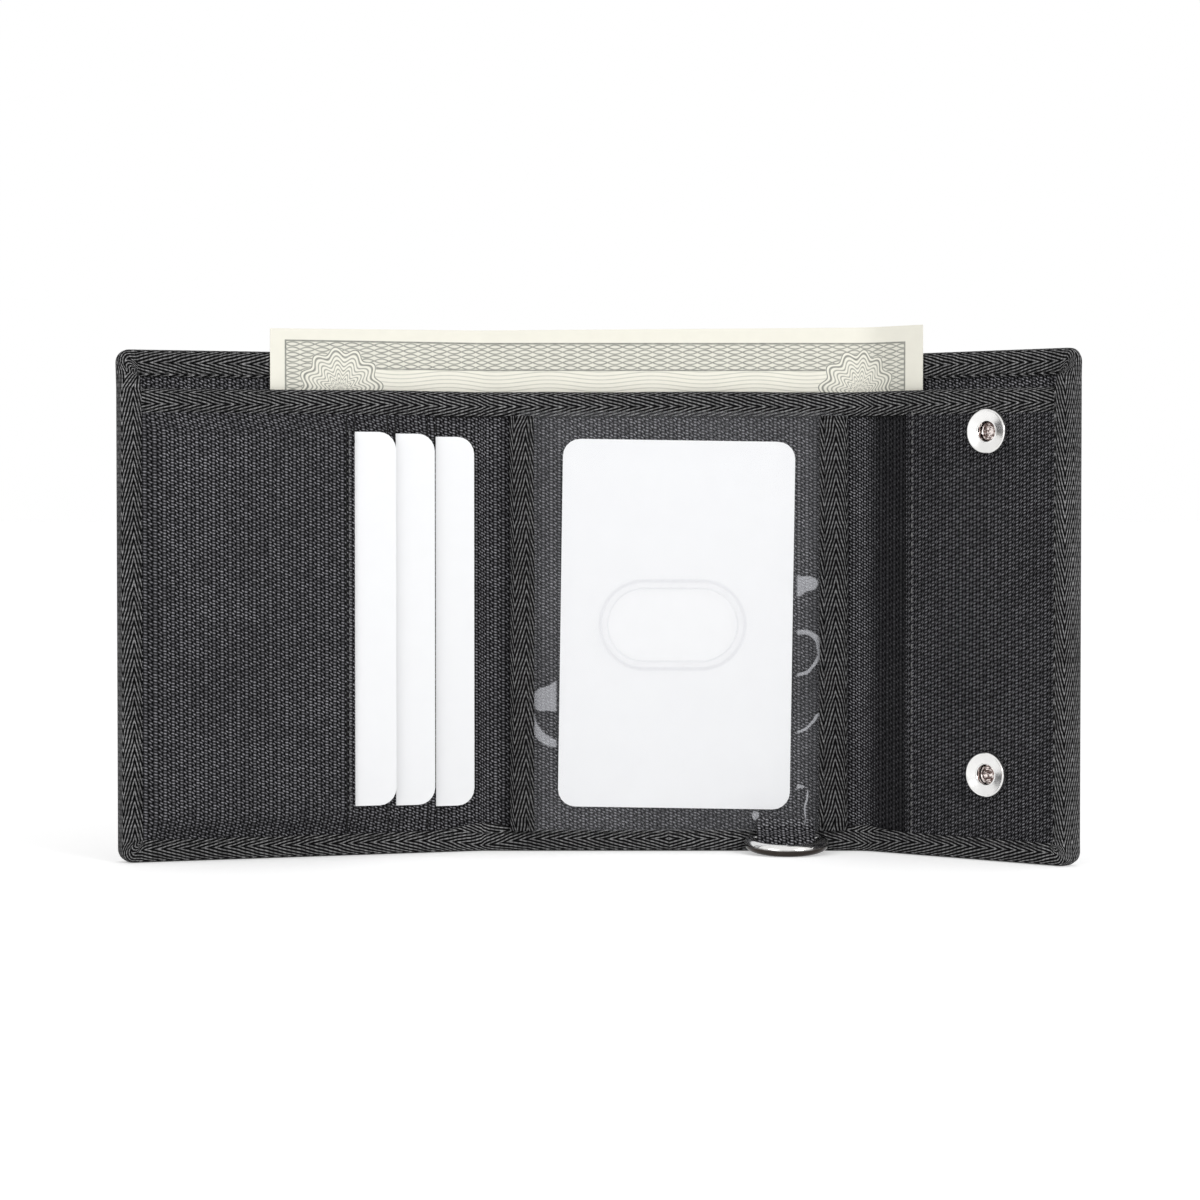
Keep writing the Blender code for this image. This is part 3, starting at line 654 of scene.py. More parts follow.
@made_once("materials")
def note_material(name):
    """Cream paper with a generic engraved lattice, rosettes and frame lines."""
    material, tree, shader = new_material(name, 0.8)
    paper = cloth_place(tree)
    x, y = split(paper)
    width, height = NOTE_SIZE
    margin = 0.0036
    band = margin + 0.0062
    from_x = width / 2 - abs(x - width / 2)
    from_y = height / 2 - abs(y - height / 2)
    inset = from_x.math("MINIMUM", from_y)

    def rule(value, centre, half):
        return 1.0 - smooth(abs(value - centre), half * 0.6, half * 1.2)

    frame_lines = rule(inset, margin, 0.00022).higher(rule(inset, band, 0.00018))
    border = smooth(inset, margin, margin + 0.0001) * (1.0 - smooth(inset, band - 0.0002, band))
    wave, rise = (x * 900.0).math("SINE") * 2.4, y * 5200.0
    lattice = smooth((rise + wave).math("SINE").higher((rise - wave).math("SINE")), 0.5, 0.95)
    field = (y * 6800.0 + (x * 260.0).math("SINE") * 3.2).math("SINE")
    ground = smooth(inset, band, band + 0.0004) * (smooth(field, 0.35, 0.95) * 0.42)
    end_x, end_y = from_x - 0.0165, height - y - 0.0150
    petals = (end_y.math("ARCTAN2", end_x) * 12.0).math("SINE") * 0.0007
    reach = (end_x * end_x + end_y * end_y).math("SQRT") + petals
    rings = smooth((reach * 6200.0).math("SINE"), 0.0, 0.7) * 0.8
    disc = 1.0 - smooth(reach, 0.0082, 0.0085)
    rim = rule(reach, 0.0085, 0.00024).higher(rule(reach, 0.0094, 0.00016))
    ink = frame_lines.higher(border * (0.14 + lattice * 0.78)).higher(ground)
    ink = (ink * smooth(reach, 0.0094, 0.0097)).higher((disc * rings).higher(rim))
    ink = (ink * (0.55 + noise_value(paper, 700.0, 3.0) * 0.55)).clamped()
    fibre = noise_value(paper, 320.0, 4.0)
    sheet = mix_colour(fibre, scaled(colours().paper, 0.93), colours().paper)
    mix_colour(ink, sheet, colours().ink).into(shader, "Base Color")
    bump_normal(shader, ink + fibre * 0.6, distance=0.00006, strength=0.4)
    return material


# Mesh helpers

def ripple(s, z, size, seed):
    """Smooth seeded wander between -1 and 1."""
    return noise.noise(Vector((s / size, z / size, seed * 7.31)))


def slack():
    """The fabric's wander in millimetres."""
    return sizes().slack / MM


def ease(value):
    """Smooth step of a value between 0 and 1."""
    value = min(max(value, 0.0), 1.0)
    return value * value * (3 - 2 * value)


def steps(first, last, size):
    """Evenly spread values from first to last."""
    count = max(1, round(abs(last - first) / size))
    return [first + (last - first) * i / count for i in range(count + 1)]


def add_piece(name, mesh):
    """Puts a smooth mesh into the scene as an object at the origin."""
    for face in mesh.polygons:
        face.use_smooth = True
    piece = bpy.data.objects.new(name, mesh)
    bpy.context.scene.collection.objects.link(piece)
    return piece


def finish_mesh(name, shape, material, angle=35.0):
    """Turns a bmesh into a shaded object, sharp where its faces turn by more than the angle."""
    bmesh.ops.recalc_face_normals(shape, faces=shape.faces)
    mesh = bpy.data.meshes.new(name)
    shape.to_mesh(mesh)
    shape.free()
    mesh.materials.append(material)
    piece = add_piece(name, mesh)
    mesh.set_sharp_from_angle(angle=math.radians(angle))
    return piece


def cloth_sheet(name, columns, rows, surface, thickness, material, uv_shift=(0.0, 0.0), keep=None):
    """A closed sheet over flat columns and rows; surface gives s, n and z of each front point."""
    shape = bmesh.new()
    layer = shape.loops.layers.uv.new("cloth")
    flats = {}

    def grid_vertex(s, z, depth):
        place_s, n, place_z = surface(s, z)
        vertex = shape.verts.new(fold_point(place_s, n - depth, place_z))
        flats[vertex] = ((place_s + uv_shift[0]) * MM, (place_z + uv_shift[1]) * MM)
        return vertex

    front, back = [[[grid_vertex(s, z, depth) for z in rows] for s in columns] for depth in (0.0, thickness)]
    wide, tall = len(columns) - 1, len(rows) - 1

    def kept(i, j):
        if not (0 <= i < wide and 0 <= j < tall):
            return False
        return keep is None or keep((columns[i] + columns[i + 1]) / 2, (rows[j] + rows[j + 1]) / 2)

    for i in range(wide):
        for j in range(tall):
            if not kept(i, j):
                continue
            corners = ((i, j), (i + 1, j), (i + 1, j + 1), (i, j + 1))
            shape.faces.new([front[a][b] for a, b in corners])
            shape.faces.new([back[a][b] for a, b in reversed(corners)])
            beyond = ((i, j - 1), (i + 1, j), (i, j + 1), (i - 1, j))
            for (a, b), (c, d), cell in zip(corners, corners[1:] + corners[:1], beyond):
                if not kept(*cell):
                    shape.faces.new((front[a][b], back[a][b], back[c][d], front[c][d]))
    for face in shape.faces:
        for loop in face.loops:
            loop[layer].uv = flats[loop.vert]
    loose = [vertex for vertex in shape.verts if not vertex.link_faces]
    bmesh.ops.delete(shape, geom=loose, context="VERTS")
    return finish_mesh(name, shape, material)


def swept(name, stations, material, closed=False, angle=40.0):
    """Skins stations of (point, u, v) rings into one closed piece."""
    shape = bmesh.new()
    layer = shape.loops.layers.uv.new("cloth")
    rings = [[shape.verts.new(point) for point, u, v in ring] for ring in stations]
    count = len(rings[0])
    for a in range(len(rings) if closed else len(rings) - 1):
        b = (a + 1) % len(rings)
        for i in range(count):
            j = (i + 1) % count
            corners = ((a, i), (a, j), (b, j), (b, i))
            face = shape.faces.new([rings[station][corner] for station, corner in corners])
            for loop, (station, corner) in zip(face.loops, corners):
                u, v = stations[station][corner][1:]
                loop[layer].uv = (u * MM, v * MM)
    if not closed:
        shape.faces.new(rings[0])
        shape.faces.new(rings[-1])
    return finish_mesh(name, shape, material, angle)


def lathe(name, centre_s, centre_z, profile, material, angle=30.0):
    """Turns a profile of radius and n about a line through the fabric; one that starts off it is closed."""
    shape = bmesh.new()
    rings = []
    for i in range(LATHE_STEPS):
        turn = math.tau * i / LATHE_STEPS
        cos, sin = math.cos(turn), math.sin(turn)
        rings.append([shape.verts.new(fold_point(centre_s + radius * cos, n, centre_z + radius * sin))
                      for radius, n in profile])
    count = len(profile)
    faces = count if profile[0][0] > 1e-6 else count - 1
    for i in range(LATHE_STEPS):
        j = (i + 1) % LATHE_STEPS
        for k in range(faces):
            m = (k + 1) % count
            shape.faces.new((rings[i][k], rings[i][m], rings[j][m], rings[j][k]))
    bmesh.ops.remove_doubles(shape, verts=shape.verts, dist=1e-7)
    return finish_mesh(name, shape, material, angle)


def tape_profile(width, back, front):
    """Rounded U of a folded tape: inward distance and n, with its place across the tape."""
    bulge, room = 0.12, TAPE + 0.3
    deep = front - back
    turned, over = width + deep, width * 2 + deep
    return [
        (width, back, 0.0), (width * 0.5, back - bulge, width * 0.5),
        (1.1, back - bulge * 0.6, width - 1.1), (0.35, back + 0.22, width - 0.4),
        *((0.0, back + deep * share, width + deep * share) for share in (0.3, 0.5, 0.7)),
        (0.35, front - 0.22, turned), (1.1, front + bulge * 0.6, turned + 1.1),
        (width * 0.5, front + bulge, width * 1.5 + deep), (width - 0.15, front + 0.02, over),
        (width, front - 0.12, over + 0.2), (width, front - TAPE, over + 0.4),
        (room, front - TAPE, 3.0), (room, back + TAPE, 2.0), (width, back + TAPE, 1.0)]


def set_blend(piece, side):
    """Makes a piece bend at one fold."""
    if side == "left":
        start, end = fold_point(left_s(LEFT_BLEND), 0, 0), fold_point(CENTRE_BLEND - HALF, 0, 0)
        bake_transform(piece)
    else:
        start, end = fold_point(HALF - CENTRE_BLEND, 0, 0), fold_point(right_s(RIGHT_BLEND), 0, 0)
        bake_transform(piece)


def fit(piece, place, slot, *nodes):
    """Gives a piece its body or its fold, the nodes that it replaces and its slot."""
    if place in SIDES:
        set_blend(piece, place)
    else:
        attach(piece, place)
    if nodes:
        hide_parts(*nodes)


def fold_nodes(name, side):
    """Nodes of one half of a sheet or tape; the left half has the centre too."""
    nodes = [name + "_" + side, name + "_" + side + "_fold"]
    return nodes + [name + "_centre"] if side == "left" else nodes


def refinish(node, material):
    """Gives a solid of the frame its finish."""
    materials = frame["nodes"][node].data.materials
    materials.clear()
    materials.append(material)


def half_range(side, left_stop, right_stop):
    """Columns of one half of the wallet, between the middle and an outer stop."""
    return steps(left_stop, 0.0, LENGTH_STEP) if side == "left" else steps(0.0, right_stop, LENGTH_STEP)


def corner_clip(s, z, top):
    """Pulls a point inside the rounded outer corners."""
    for edge, way in ((LEFT_EDGE + EDGE_INSET, 1), (RIGHT_EDGE - EDGE_INSET, -1)):
        for level, up in ((EDGE_INSET, 1), (top, -1)):
            off_s, off_z = s - (edge + way * CORNER), z - (level + up * CORNER)
            reach = math.hypot(off_s, off_z)
            if off_s * way < 0 and off_z * up < 0 and reach > CORNER:
                share = 1.0 - CORNER / reach
                return s - off_s * share, z - off_z * share
    return s, z


class WALLET_OT_panels(bpy.types.Operator):
    """Makes the outer shell and the liner, each in two halves that meet at the middle"""

    bl_idname = "wallet.panels"
    bl_label = "Shell and liner"

    def execute(self, context):
        def shell(s, z):
            s, z = corner_clip(s, z, HEIGHT - EDGE_INSET)
            return s, SHELL_FRONT + slack() * 0.6 * ripple(s, z, size=26.0, seed=1), z

        def liner(s, z):
            # The liner's upper corners stay square, and it dips under the third card
            s, z = corner_clip(s, z, 2 * HEIGHT)
            t = left_t(s)
            dip = 0.3 * ease((t + 4.0) / 4.0) * ease((14.0 - t) / 4.0)
            return s, LINER_FRONT - dip + slack() * 0.5 * ripple(s, z, size=22.0, seed=2), z

        sheets = (("shell", HEIGHT, shell, SHELL_CLOTH, nylon_material("shell_nylon", lift=1.5)),
                  ("liner", LINER_TOP, liner, LINER_CLOTH,
                   nylon_material("liner_nylon", lift=1.15, gutter=LINER_GUTTER)))
        for side in SIDES:
            columns = half_range(side, LEFT_EDGE + EDGE_INSET, RIGHT_EDGE - EDGE_INSET)
            for name, top, surface, thickness, material in sheets:
                rows = steps(EDGE_INSET, top - EDGE_INSET, 2.4)
                piece = cloth_sheet(name + "_" + side + "_half", columns, rows, surface, thickness, material)
                fit(piece, side, "nylon", *fold_nodes(name, side))
        return {"FINISHED"}


def edge_stations(side):
    """Outer and inner flat points round one half's edge, with the front of its tape."""
    edge, way, width, fold_s, rise_at_fold = BINDING_SIDES[side]
    inner_s, turn_s = edge + way * width, edge + way * CORNER
    top_in, top_turn = HEIGHT - TOP_BINDING, HEIGHT - CORNER
    bends = [math.radians(90 * i / 8) for i in range(1, 9)]

    def inner(s):
        return inner_s if (s - inner_s) * way < 0 else s

    stations = [((s, HEIGHT), (inner(s), top_in), TOP_FRONT) for s in steps(0.0, turn_s, LENGTH_STEP)]
    for i, turn in enumerate(bends, 1):
        point = (turn_s - way * CORNER * math.sin(turn), top_turn + CORNER * math.cos(turn))
        stations.append((point, (inner_s, top_in), TOP_FRONT + (CORNER_FRONT - TOP_FRONT) * i / 8))
    for z in steps(top_turn, CORNER, LENGTH_STEP)[1:]:
        rise = min((top_turn - z) / 6.0, 1.0)
        level = min(max(z, BOTTOM_BINDING), top_in)
        stations.append(((edge, z), (inner_s, level), CORNER_FRONT + (BOTTOM_FRONT - CORNER_FRONT) * rise))
    for turn in bends:
        point = (turn_s - way * CORNER * math.cos(turn), CORNER - CORNER * math.sin(turn))
        stations.append((point, (inner_s, BOTTOM_BINDING), BOTTOM_FRONT))
    for s in steps(turn_s, 0.0, LENGTH_STEP)[1:]:
        bulge = rise_at_fold * math.exp(-((s - fold_s) / 7.5) ** 2)
        stations.append(((s, 0.0), (inner(s), BOTTOM_BINDING + bulge), BOTTOM_FRONT))
    return stations


def tape_rings(stations, back, wobble, seed):
    """Turns edge stations into rings of a folded tape."""
    rings = []
    run = 0.0
    before = stations[0][0]
    for outer, inner, front in stations:
        run += math.hypot(outer[0] - before[0], outer[1] - before[1])
        before = outer
        width = math.hypot(outer[0] - inner[0], outer[1] - inner[1])
        ring = []
        for inward, n, across in tape_profile(width, back, front):
            share = inward / width
            s = outer[0] + (inner[0] - outer[0]) * share
            z = outer[1] + (inner[1] - outer[1]) * share
            lift = wobble * ripple(s, z, size=9.0, seed=seed) if inward > 0.9 else 0.0
            ring.append((fold_point(s, n + lift * 0.3, z + lift * 0.6), run, across))
        rings.append(ring)
    return rings


class WALLET_OT_bindings(bpy.types.Operator):
    """Makes the tapes that wrap the wallet's edge and the liner's top edge"""

    bl_idname = "wallet.bindings"
    bl_label = "Binding tapes"

    def execute(self, context):
        tape = tape_material("ribbed_tape")
        for side in SIDES:
            rings = tape_rings(edge_stations(side), BINDING_BACK, slack(), 3)
            piece = swept("edge_binding_" + side, rings, tape)
            fit(piece, side, "twill_tape", *fold_nodes("shell_top_binding", side), "side_binding_" + side,
                *fold_nodes("bottom_binding", side))
            stations = []
            for s in half_range(side, *LINER_TAPE_ENDS):
                sag = 0.25 * ripple(s, 0.0, size=30.0, seed=5)
                foot = LINER_TOP - LINER_TAPE + sag * 0.6
                stations.append(((s, LINER_TOP + sag), (s, foot), LINER_TAPE_FRONT))
            piece = swept("liner_tape_" + side, tape_rings(stations, LINER_TAPE_BACK, slack(), 4), tape)
            fit(piece, side, "twill_tape", *fold_nodes("liner_top_tape", side))
        return {"FINISHED"}


def pocket_place(index, s, z, side=1.0, wander=0.0):
    """Flat place of a card pocket's cloth, which stands forward between its sewn ends."""
    _, edge, _, raised = CARD_POCKETS[index]
    sewn = SEWN_FRONT - 0.2 * index
    ends = ease((z - POCKET_ENDS[0]) / 6.2) * ease((POCKET_ENDS[1] - z) / 5.0)
    n = sewn + (raised - sewn + wander) * side * ends
    pull = EDGE_PULL * (raised - n) * ease((edge + 12.0 - left_t(s)) / 12.0)
    return s + pull, n, z


class WALLET_OT_card_pockets(bpy.types.Operator):
    """Makes the three stepped card pockets of the left panel"""

    bl_idname = "wallet.card_pockets"
    bl_label = "Card pockets"

    def execute(self, context):
        for index, (name, edge, outer, _) in enumerate(CARD_POCKETS):
            def surface(s, z, index=index, outer=outer):
                t = left_t(s)
                wander = slack() * 0.9 * ripple(s, z, size=17.0, seed=6 + index)
                for ridge in CARD_RIDGES:
                    wander += 0.10 * math.exp(-((t - ridge + 0.4) / 0.5) ** 2)
                return pocket_place(index, s, z, ease((outer - t) / 5.0), wander)

            columns = steps(left_s(outer), left_s(edge), 1.0)
            piece = cloth_sheet("card_pocket_" + name + "_cloth", columns, steps(*POCKET_ENDS, 1.4), surface,
                                POCKET_CLOTH, nylon_material("pocket_nylon", lift=1.1))
            fit(piece, "left_wing", "nylon", "card_pocket_" + name)
        return {"FINISHED"}


def film_point(turn, share):
    """Front point of the window's film, a share of the way from the thumb hole to the film's edge."""
    centre_s, centre_z = THUMB_CENTRE
    wide, tall = THUMB_HALF
    cos, sin = math.cos(turn), math.sin(turn)
    oval_s = centre_s + math.copysign(wide - tall, cos) + tall * cos
    oval_z = centre_z + tall * sin
    scale = min(((FILM_RIGHT if cos > 0 else FILM_LEFT) - centre_s) / cos,
                ((FILM_HIGH if sin > 0 else FILM_LOW) - centre_z) / sin)
    s = oval_s + (centre_s + cos * scale - oval_s) * share
    z = oval_z + (centre_z + sin * scale - oval_z) * share
    n = FILM_FRONT + 0.35 * slack() * ripple(s, z, size=19.0, seed=11) * min(share * 6, 1.0)
    return s, n + (RIM_RISE if share in RIM_SHARES else 0.0), z


class WALLET_OT_window(bpy.types.Operator):
    """Makes the clear window with its thumb hole and side tapes"""

    bl_idname = "wallet.window"
    bl_label = "Window"

    def execute(self, context):
        stations = []
        for i in range(FILM_STEPS):
            turn = math.tau * (i + 0.5) / FILM_STEPS
            front = [film_point(turn, share) for share in FILM_SHARES]
            loop = front + [(s, n - FILM_THICK, z) for s, n, z in reversed(front)]
            stations.append([(fold_point(s, n, z), s, z) for s, n, z in loop])
        piece = swept("window_film", stations, vinyl_material("window_film"), closed=True, angle=50.0)
        fit(piece, "centre", "clear_vinyl", "window_vinyl")
        low, high = WINDOW_TAPE_ENDS
        for name, first, last, seed in WINDOW_TAPES:
            stations = []
            for z in steps(low, high, LENGTH_STEP):
                bow = 0.25 * ripple(0.0, z, size=34.0, seed=seed)
                pressed = 0.5 * (1.0 - ease((z - low) / 3.5) * ease((high - z) / 3.5))
                stations.append(((first + bow, z), (last + bow, z), WINDOW_TAPE_FRONT - pressed))
            rings = tape_rings(stations, WINDOW_TAPE_BACK, slack() * 0.6, 12)
            piece = swept("window_tape_" + name + "_cloth", rings, tape_material("window_tape", lift=0.75))
            fit(piece, "centre", "twill_tape", "window_tape_" + name)
        return {"FINISHED"}


class WALLET_OT_slip_pocket(bpy.types.Operator):
    """Makes the slip pocket of the right panel"""

    bl_idname = "wallet.slip_pocket"
    bl_label = "Slip pocket"

    def execute(self, context):
        def surface(s, z):
            t = s - HALF - RIGHT_ARC
            lift = ease((t - SLIP_EDGE) / 2.0) * ease((48.9 - t) / 4.0)
            hem = 0.22 * math.exp(-((t - 10.0) / 0.7) ** 2)
            return s, SLIP_FRONT + hem + slack() * 0.7 * ripple(s, z, size=20.0, seed=13) * lift, z

        def clear_of_snaps(s, z):
            return all(math.hypot(s - right_s(SNAP_T), z - level) > SNAP_ROOM for level in SNAP_HEIGHTS)

        columns = steps(right_s(SLIP_EDGE), right_s(SLIP_OUTER), 1.0)
        piece = cloth_sheet("slip_pocket_cloth", columns, steps(*SLIP_ENDS, 1.6), surface, POCKET_CLOTH,
                            nylon_material("slip_nylon", lift=0.84, slant=-1.2), keep=clear_of_snaps)
        fit(piece, "right_wing", "nylon", "slip_pocket")
        return {"FINISHED"}


class WALLET_OT_cards(bpy.types.Operator):
    """Finishes the blank cards"""

    bl_idname = "wallet.cards"
    bl_label = "Cards"

    def execute(self, context):
        for name in ("card_1", "card_2", "card_3", "id_card"):
            refinish(name, card_material("blank_card"))
        return {"FINISHED"}


class WALLET_OT_snaps(bpy.types.Operator):
    """Makes the snap sockets and caps of the flap and the studs of the left panel"""

    bl_idname = "wallet.snaps"
    bl_label = "Snaps"

    def execute(self, context):
        back, front, rim, hole, dish = 5.0, 6.5, 5.15, 2.3, 0.45
        socket = [(hole, back), (rim - 0.35, back), (rim - 0.05, back + 0.2), (rim, back + 0.55),
                  (rim - 0.02, back + 0.95), (rim - 0.14, front - 0.18), (rim - 0.32, front),
                  (rim - 0.45, front), (rim - 0.58, front - 0.08), (hole + 0.35, front - dish),
                  (hole + 0.22, front - dish + 0.07), (hole + 0.08, front - dish + 0.05), (hole, front - 0.5),
                  (hole, 5.97), (3.9, 5.97), (3.9, 5.5), (hole, 5.5)]
        cap = [(0.0, -1.6), (1.4, -1.57), (2.8, -1.46), (4.0, -1.24), (4.8, -0.95), (5.3, -0.62),
               (5.5, -0.42), (5.5, -0.3), (1.3, -0.3), (1.3, 4.4), (0.0, 4.4)]
        eyelet = [(0.0, 4.45), (2.2, 4.45), (2.25, 4.62), (2.1, 4.8), (1.95, 4.8), (1.75, 4.6), (1.45, 4.6),
                  (1.3, 4.8), (1.1, 4.8), (0.95, 4.6), (0.5, 4.6), (0.3, 4.75), (0.0, 4.78)]
        stud = [(0.0, -0.3), (3.9, -0.3), (4.0, -0.4), (3.9, -0.62), (3.0, -0.7), (2.0, -0.72), (1.45, -0.85),
                (1.3, -1.2), (1.35, -1.5), (1.6, -1.85), (1.6, -2.2), (1.4, -2.5), (1.1, -2.6), (0.0, -2.6)]
        nickel = metal_material("nickel_plate")
        flap_s, panel_s = right_s(SNAP_T), left_s(STUD_T)
        for level, z in zip(SNAP_LEVELS, SNAP_HEIGHTS):
            for kind, s, profile, body in (("socket", flap_s, socket, "right_wing"),
                                           ("cap", flap_s, cap, "right_wing"),
                                           ("stud", panel_s, stud, "left_wing")):
                node = "snap_" + kind + "_" + level
                piece = lathe(node + "_plate", s, z, profile, nickel, angle=10.0)
                fit(piece, body, "nickel", node)
            piece = lathe("snap_eyelet_" + level, flap_s, z, eyelet, wire_material("eyelet_plate", tone=0.45))
            fit(piece, "right_wing", "nickel")
            refinish("snap_spring_" + level, wire_material("socket_wire"))
            refinish("snap_post_" + level, nickel)
        return {"FINISHED"}


def ring_path(wide, depth, corner):
    """Middle line of the ring's wire: the bar, a bend, the round bow and the other bend."""
    bends = [math.radians(turn) for turn in (22.5, 45.0, 67.5, 90.0)]
    path = [(x, 0.0) for x in steps(corner - wide, wide - corner, 2.0)]
    path += [(wide - corner + corner * math.sin(turn), corner - corner * math.cos(turn)) for turn in bends]
    for i in range(37):
        turn = math.pi * i / 36
        path.append((wide * math.cos(turn), depth - wide + wide * math.sin(turn)))
    for turn in reversed(bends):
        path.append((corner - wide - corner * math.sin(turn), corner - corner * math.cos(turn)))
    return [Vector(point) for point in path]


def tab_outline():
    """Outline of the ring's tab from the side, outside then inside, as n and z."""
    bar_n, bar_z = BACK_Y - RING_AXIS.y, RING_AXIS.z
    inside, outside, top, straight = 1.7, 2.3, 7.9, bar_z + 1.2
    turns = [math.pi + math.pi * i / 14 for i in range(15)]
    outline = [(bar_n - outside, top), (bar_n - outside, straight)]
    round_bar = [(math.cos(turn), math.sin(turn)) for turn in turns]
    outline += [(bar_n + outside * cos, bar_z + outside * sin) for cos, sin in round_bar]
    outline += [(bar_n + x, bar_z + y) for x, y in TAB_FRONT + TAB_INSIDE]
    outline += [(bar_n + inside * cos, bar_z + inside * sin) for cos, sin in reversed(round_bar)]
    return outline + [(bar_n - inside, straight), (bar_n - inside, top)]


class WALLET_OT_ring(bpy.types.Operator):
    """Makes the D ring and the sewn tab that holds it"""

    bl_idname = "wallet.ring"
    bl_label = "Ring and tab"

    def execute(self, context):
        wire, depth, around = 1.4, 10.0, 20
        tilt = math.asin((RING_AXIS.z - wire) / depth)
        path = ring_path(wide=8.4, depth=depth, corner=1.6)
        stations = []
        for i, point in enumerate(path):
            ahead = (path[(i + 1) % len(path)] - path[i - 1]).normalized()
            ring = []
            for k in range(around):
                turn = math.tau * k / around + math.pi / 2
                side, up = wire * math.cos(turn), wire * math.sin(turn)
                out = ahead.x * side - point.y
                y = out * math.cos(tilt) - up * math.sin(tilt)
                z = out * math.sin(tilt) + up * math.cos(tilt)
                place = RING_AXIS + Vector((point.x + ahead.y * side, y, z))
                ring.append((place * MM, float(i), float(k)))
            stations.append(ring)
        # The ring's underside band is painted dark reflection
        piece = swept("d_ring_plate", stations, metal_material("ring_nickel", RING_UNDERSIDE), closed=True)
        fit(piece, "d_ring", "nickel", "d_ring")
        outline = tab_outline()
        stations = []
        for u in steps(RING_AXIS.x - TAB_HALF, RING_AXIS.x + TAB_HALF, 0.7):
            run = 0.0
            before = outline[0]
            ring = []
            for n, z in outline:
                run += math.hypot(n - before[0], z - before[1])
                before = (n, z)
                ring.append((fold_point(u, n, z), u, run))
            stations.append(ring)
        piece = swept("ring_tab_cloth", stations, nylon_material("tab_nylon", lift=1.4), angle=50.0)
        fit(piece, "centre", "twill_tape", "ring_tab")
        return {"FINISHED"}


class WALLET_OT_note(bpy.types.Operator):
    """Makes the note in the long compartment, in two halves that meet at the middle"""

    bl_idname = "wallet.note"
    bl_label = "Note"

    def execute(self, context):
        first, last = left_s(NOTE_FIRST), right_s(NOTE_LAST)

        def surface(s, z):
            lean = 1.2 * ((s - first) / (last - first) - 1.0) * ease((z - 60.0) / 60.0)
            curl = 0.22 * ripple(s, z, size=30.0, seed=14) * ease((z - 100.0) / 20.0)
            return s, NOTE_FRONT + curl, z + lean

        for side in SIDES:
            piece = cloth_sheet("note_" + side + "_half", half_range(side, first, last),
                                steps(NOTE_FOOT, NOTE_TOP, 1.6), surface, NOTE_PAPER,
                                note_material("engraved_paper"), uv_shift=(-first, -PRINT_FOOT))
            fit(piece, side, "note_paper", *fold_nodes("note", side))
        return {"FINISHED"}


@made_once("node_groups")
def stitch_tree(name):
    """Geometry nodes that lay stitches along every line of a mesh."""
    tree = bpy.data.node_groups.new(name, "GeometryNodeTree")
    for way, label, kind in (("INPUT", "Geometry", "Geometry"), ("INPUT", "Pitch", "Float"),
                             ("INPUT", "Length", "Float"), ("INPUT", "Thread", "Float"),
                             ("INPUT", "Material", "Material"), ("OUTPUT", "Geometry", "Geometry")):
        tree.interface.new_socket(label, in_out=way, socket_type="NodeSocket" + kind)
    enter = add_node(tree, "NodeGroupInput")
    leave = add_node(tree, "NodeGroupOutput")
    line = add_node(tree, "GeometryNodeMeshToCurve")
    spread = add_node(tree, "GeometryNodeResampleCurve", mode="LENGTH")
    bead = add_node(tree, "GeometryNodeMeshUVSphere")
    for label, value in (("Segments", 8), ("Rings", 5), ("Radius", 0.5)):
        bead.inputs[label].default_value = value
    size = add_node(tree, "ShaderNodeCombineXYZ")
    shape = add_node(tree, "GeometryNodeTransform")
    tangent = add_node(tree, "GeometryNodeInputTangent")
    align = add_node(tree, "FunctionNodeAlignRotationToVector", axis="Z")
    place = add_node(tree, "GeometryNodeInstanceOnPoints")
    real = add_node(tree, "GeometryNodeRealizeInstances")
    paint = add_node(tree, "GeometryNodeSetMaterial")
    for source, output, target, label in (
            (enter, "Geometry", line, "Mesh"), (line, "Curve", spread, "Curve"),
            (enter, "Pitch", spread, "Length"), (enter, "Thread", size, 0), (enter, "Thread", size, 1),
            (enter, "Length", size, 2), (bead, "Mesh", shape, "Geometry"), (size, 0, shape, "Scale"),
            (tangent, 0, align, "Vector"), (spread, "Curve", place, "Points"),
            (shape, "Geometry", place, "Instance"), (align, "Rotation", place, "Rotation"),
            (place, "Instances", real, "Geometry"), (real, "Geometry", paint, "Geometry"),
            (enter, "Material", paint, "Material"), (paint, "Geometry", leave, "Geometry")):
        tree.links.new(source.outputs[output], target.inputs[label])
    return tree


def stitch_piece(name, rows, thread, share=0.6):
    """Lays stitches along rows of flat points as one plain mesh; share is the part of the pitch they fill."""
    mesh = bpy.data.meshes.new(name + "_lines")
    points, edges = [], []
    for row in rows:
        begin = len(points)
        points += [fold_point(*flat) for flat in row]
        edges += [(begin + i, begin + i + 1) for i in range(len(row) - 1)]
    mesh.from_pydata(points, edges, [])
    guide = bpy.data.objects.new(name + "_lines", mesh)
    bpy.context.scene.collection.objects.link(guide)
    modifier = guide.modifiers.new("stitches", "NODES")
    modifier.node_group = stitch_tree("stitch row")
    values = {"Pitch": sizes().stitch_pitch, "Length": sizes().stitch_pitch * share,
              "Thread": sizes().thread, "Material": thread}
    for item in modifier.node_group.interface.items_tree:
        if item.in_out == "INPUT" and item.name in values:
            modifier[item.identifier] = values[item.name]
    bpy.context.view_layer.update()
    graph = bpy.context.evaluated_depsgraph_get()
    made = bpy.data.meshes.new_from_object(guide.evaluated_get(graph))
    made.name = name
    bpy.data.objects.remove(guide)
    if not made.polygons:
        raise RuntimeError("no stitches were made for " + name)
    return add_piece(name, made)


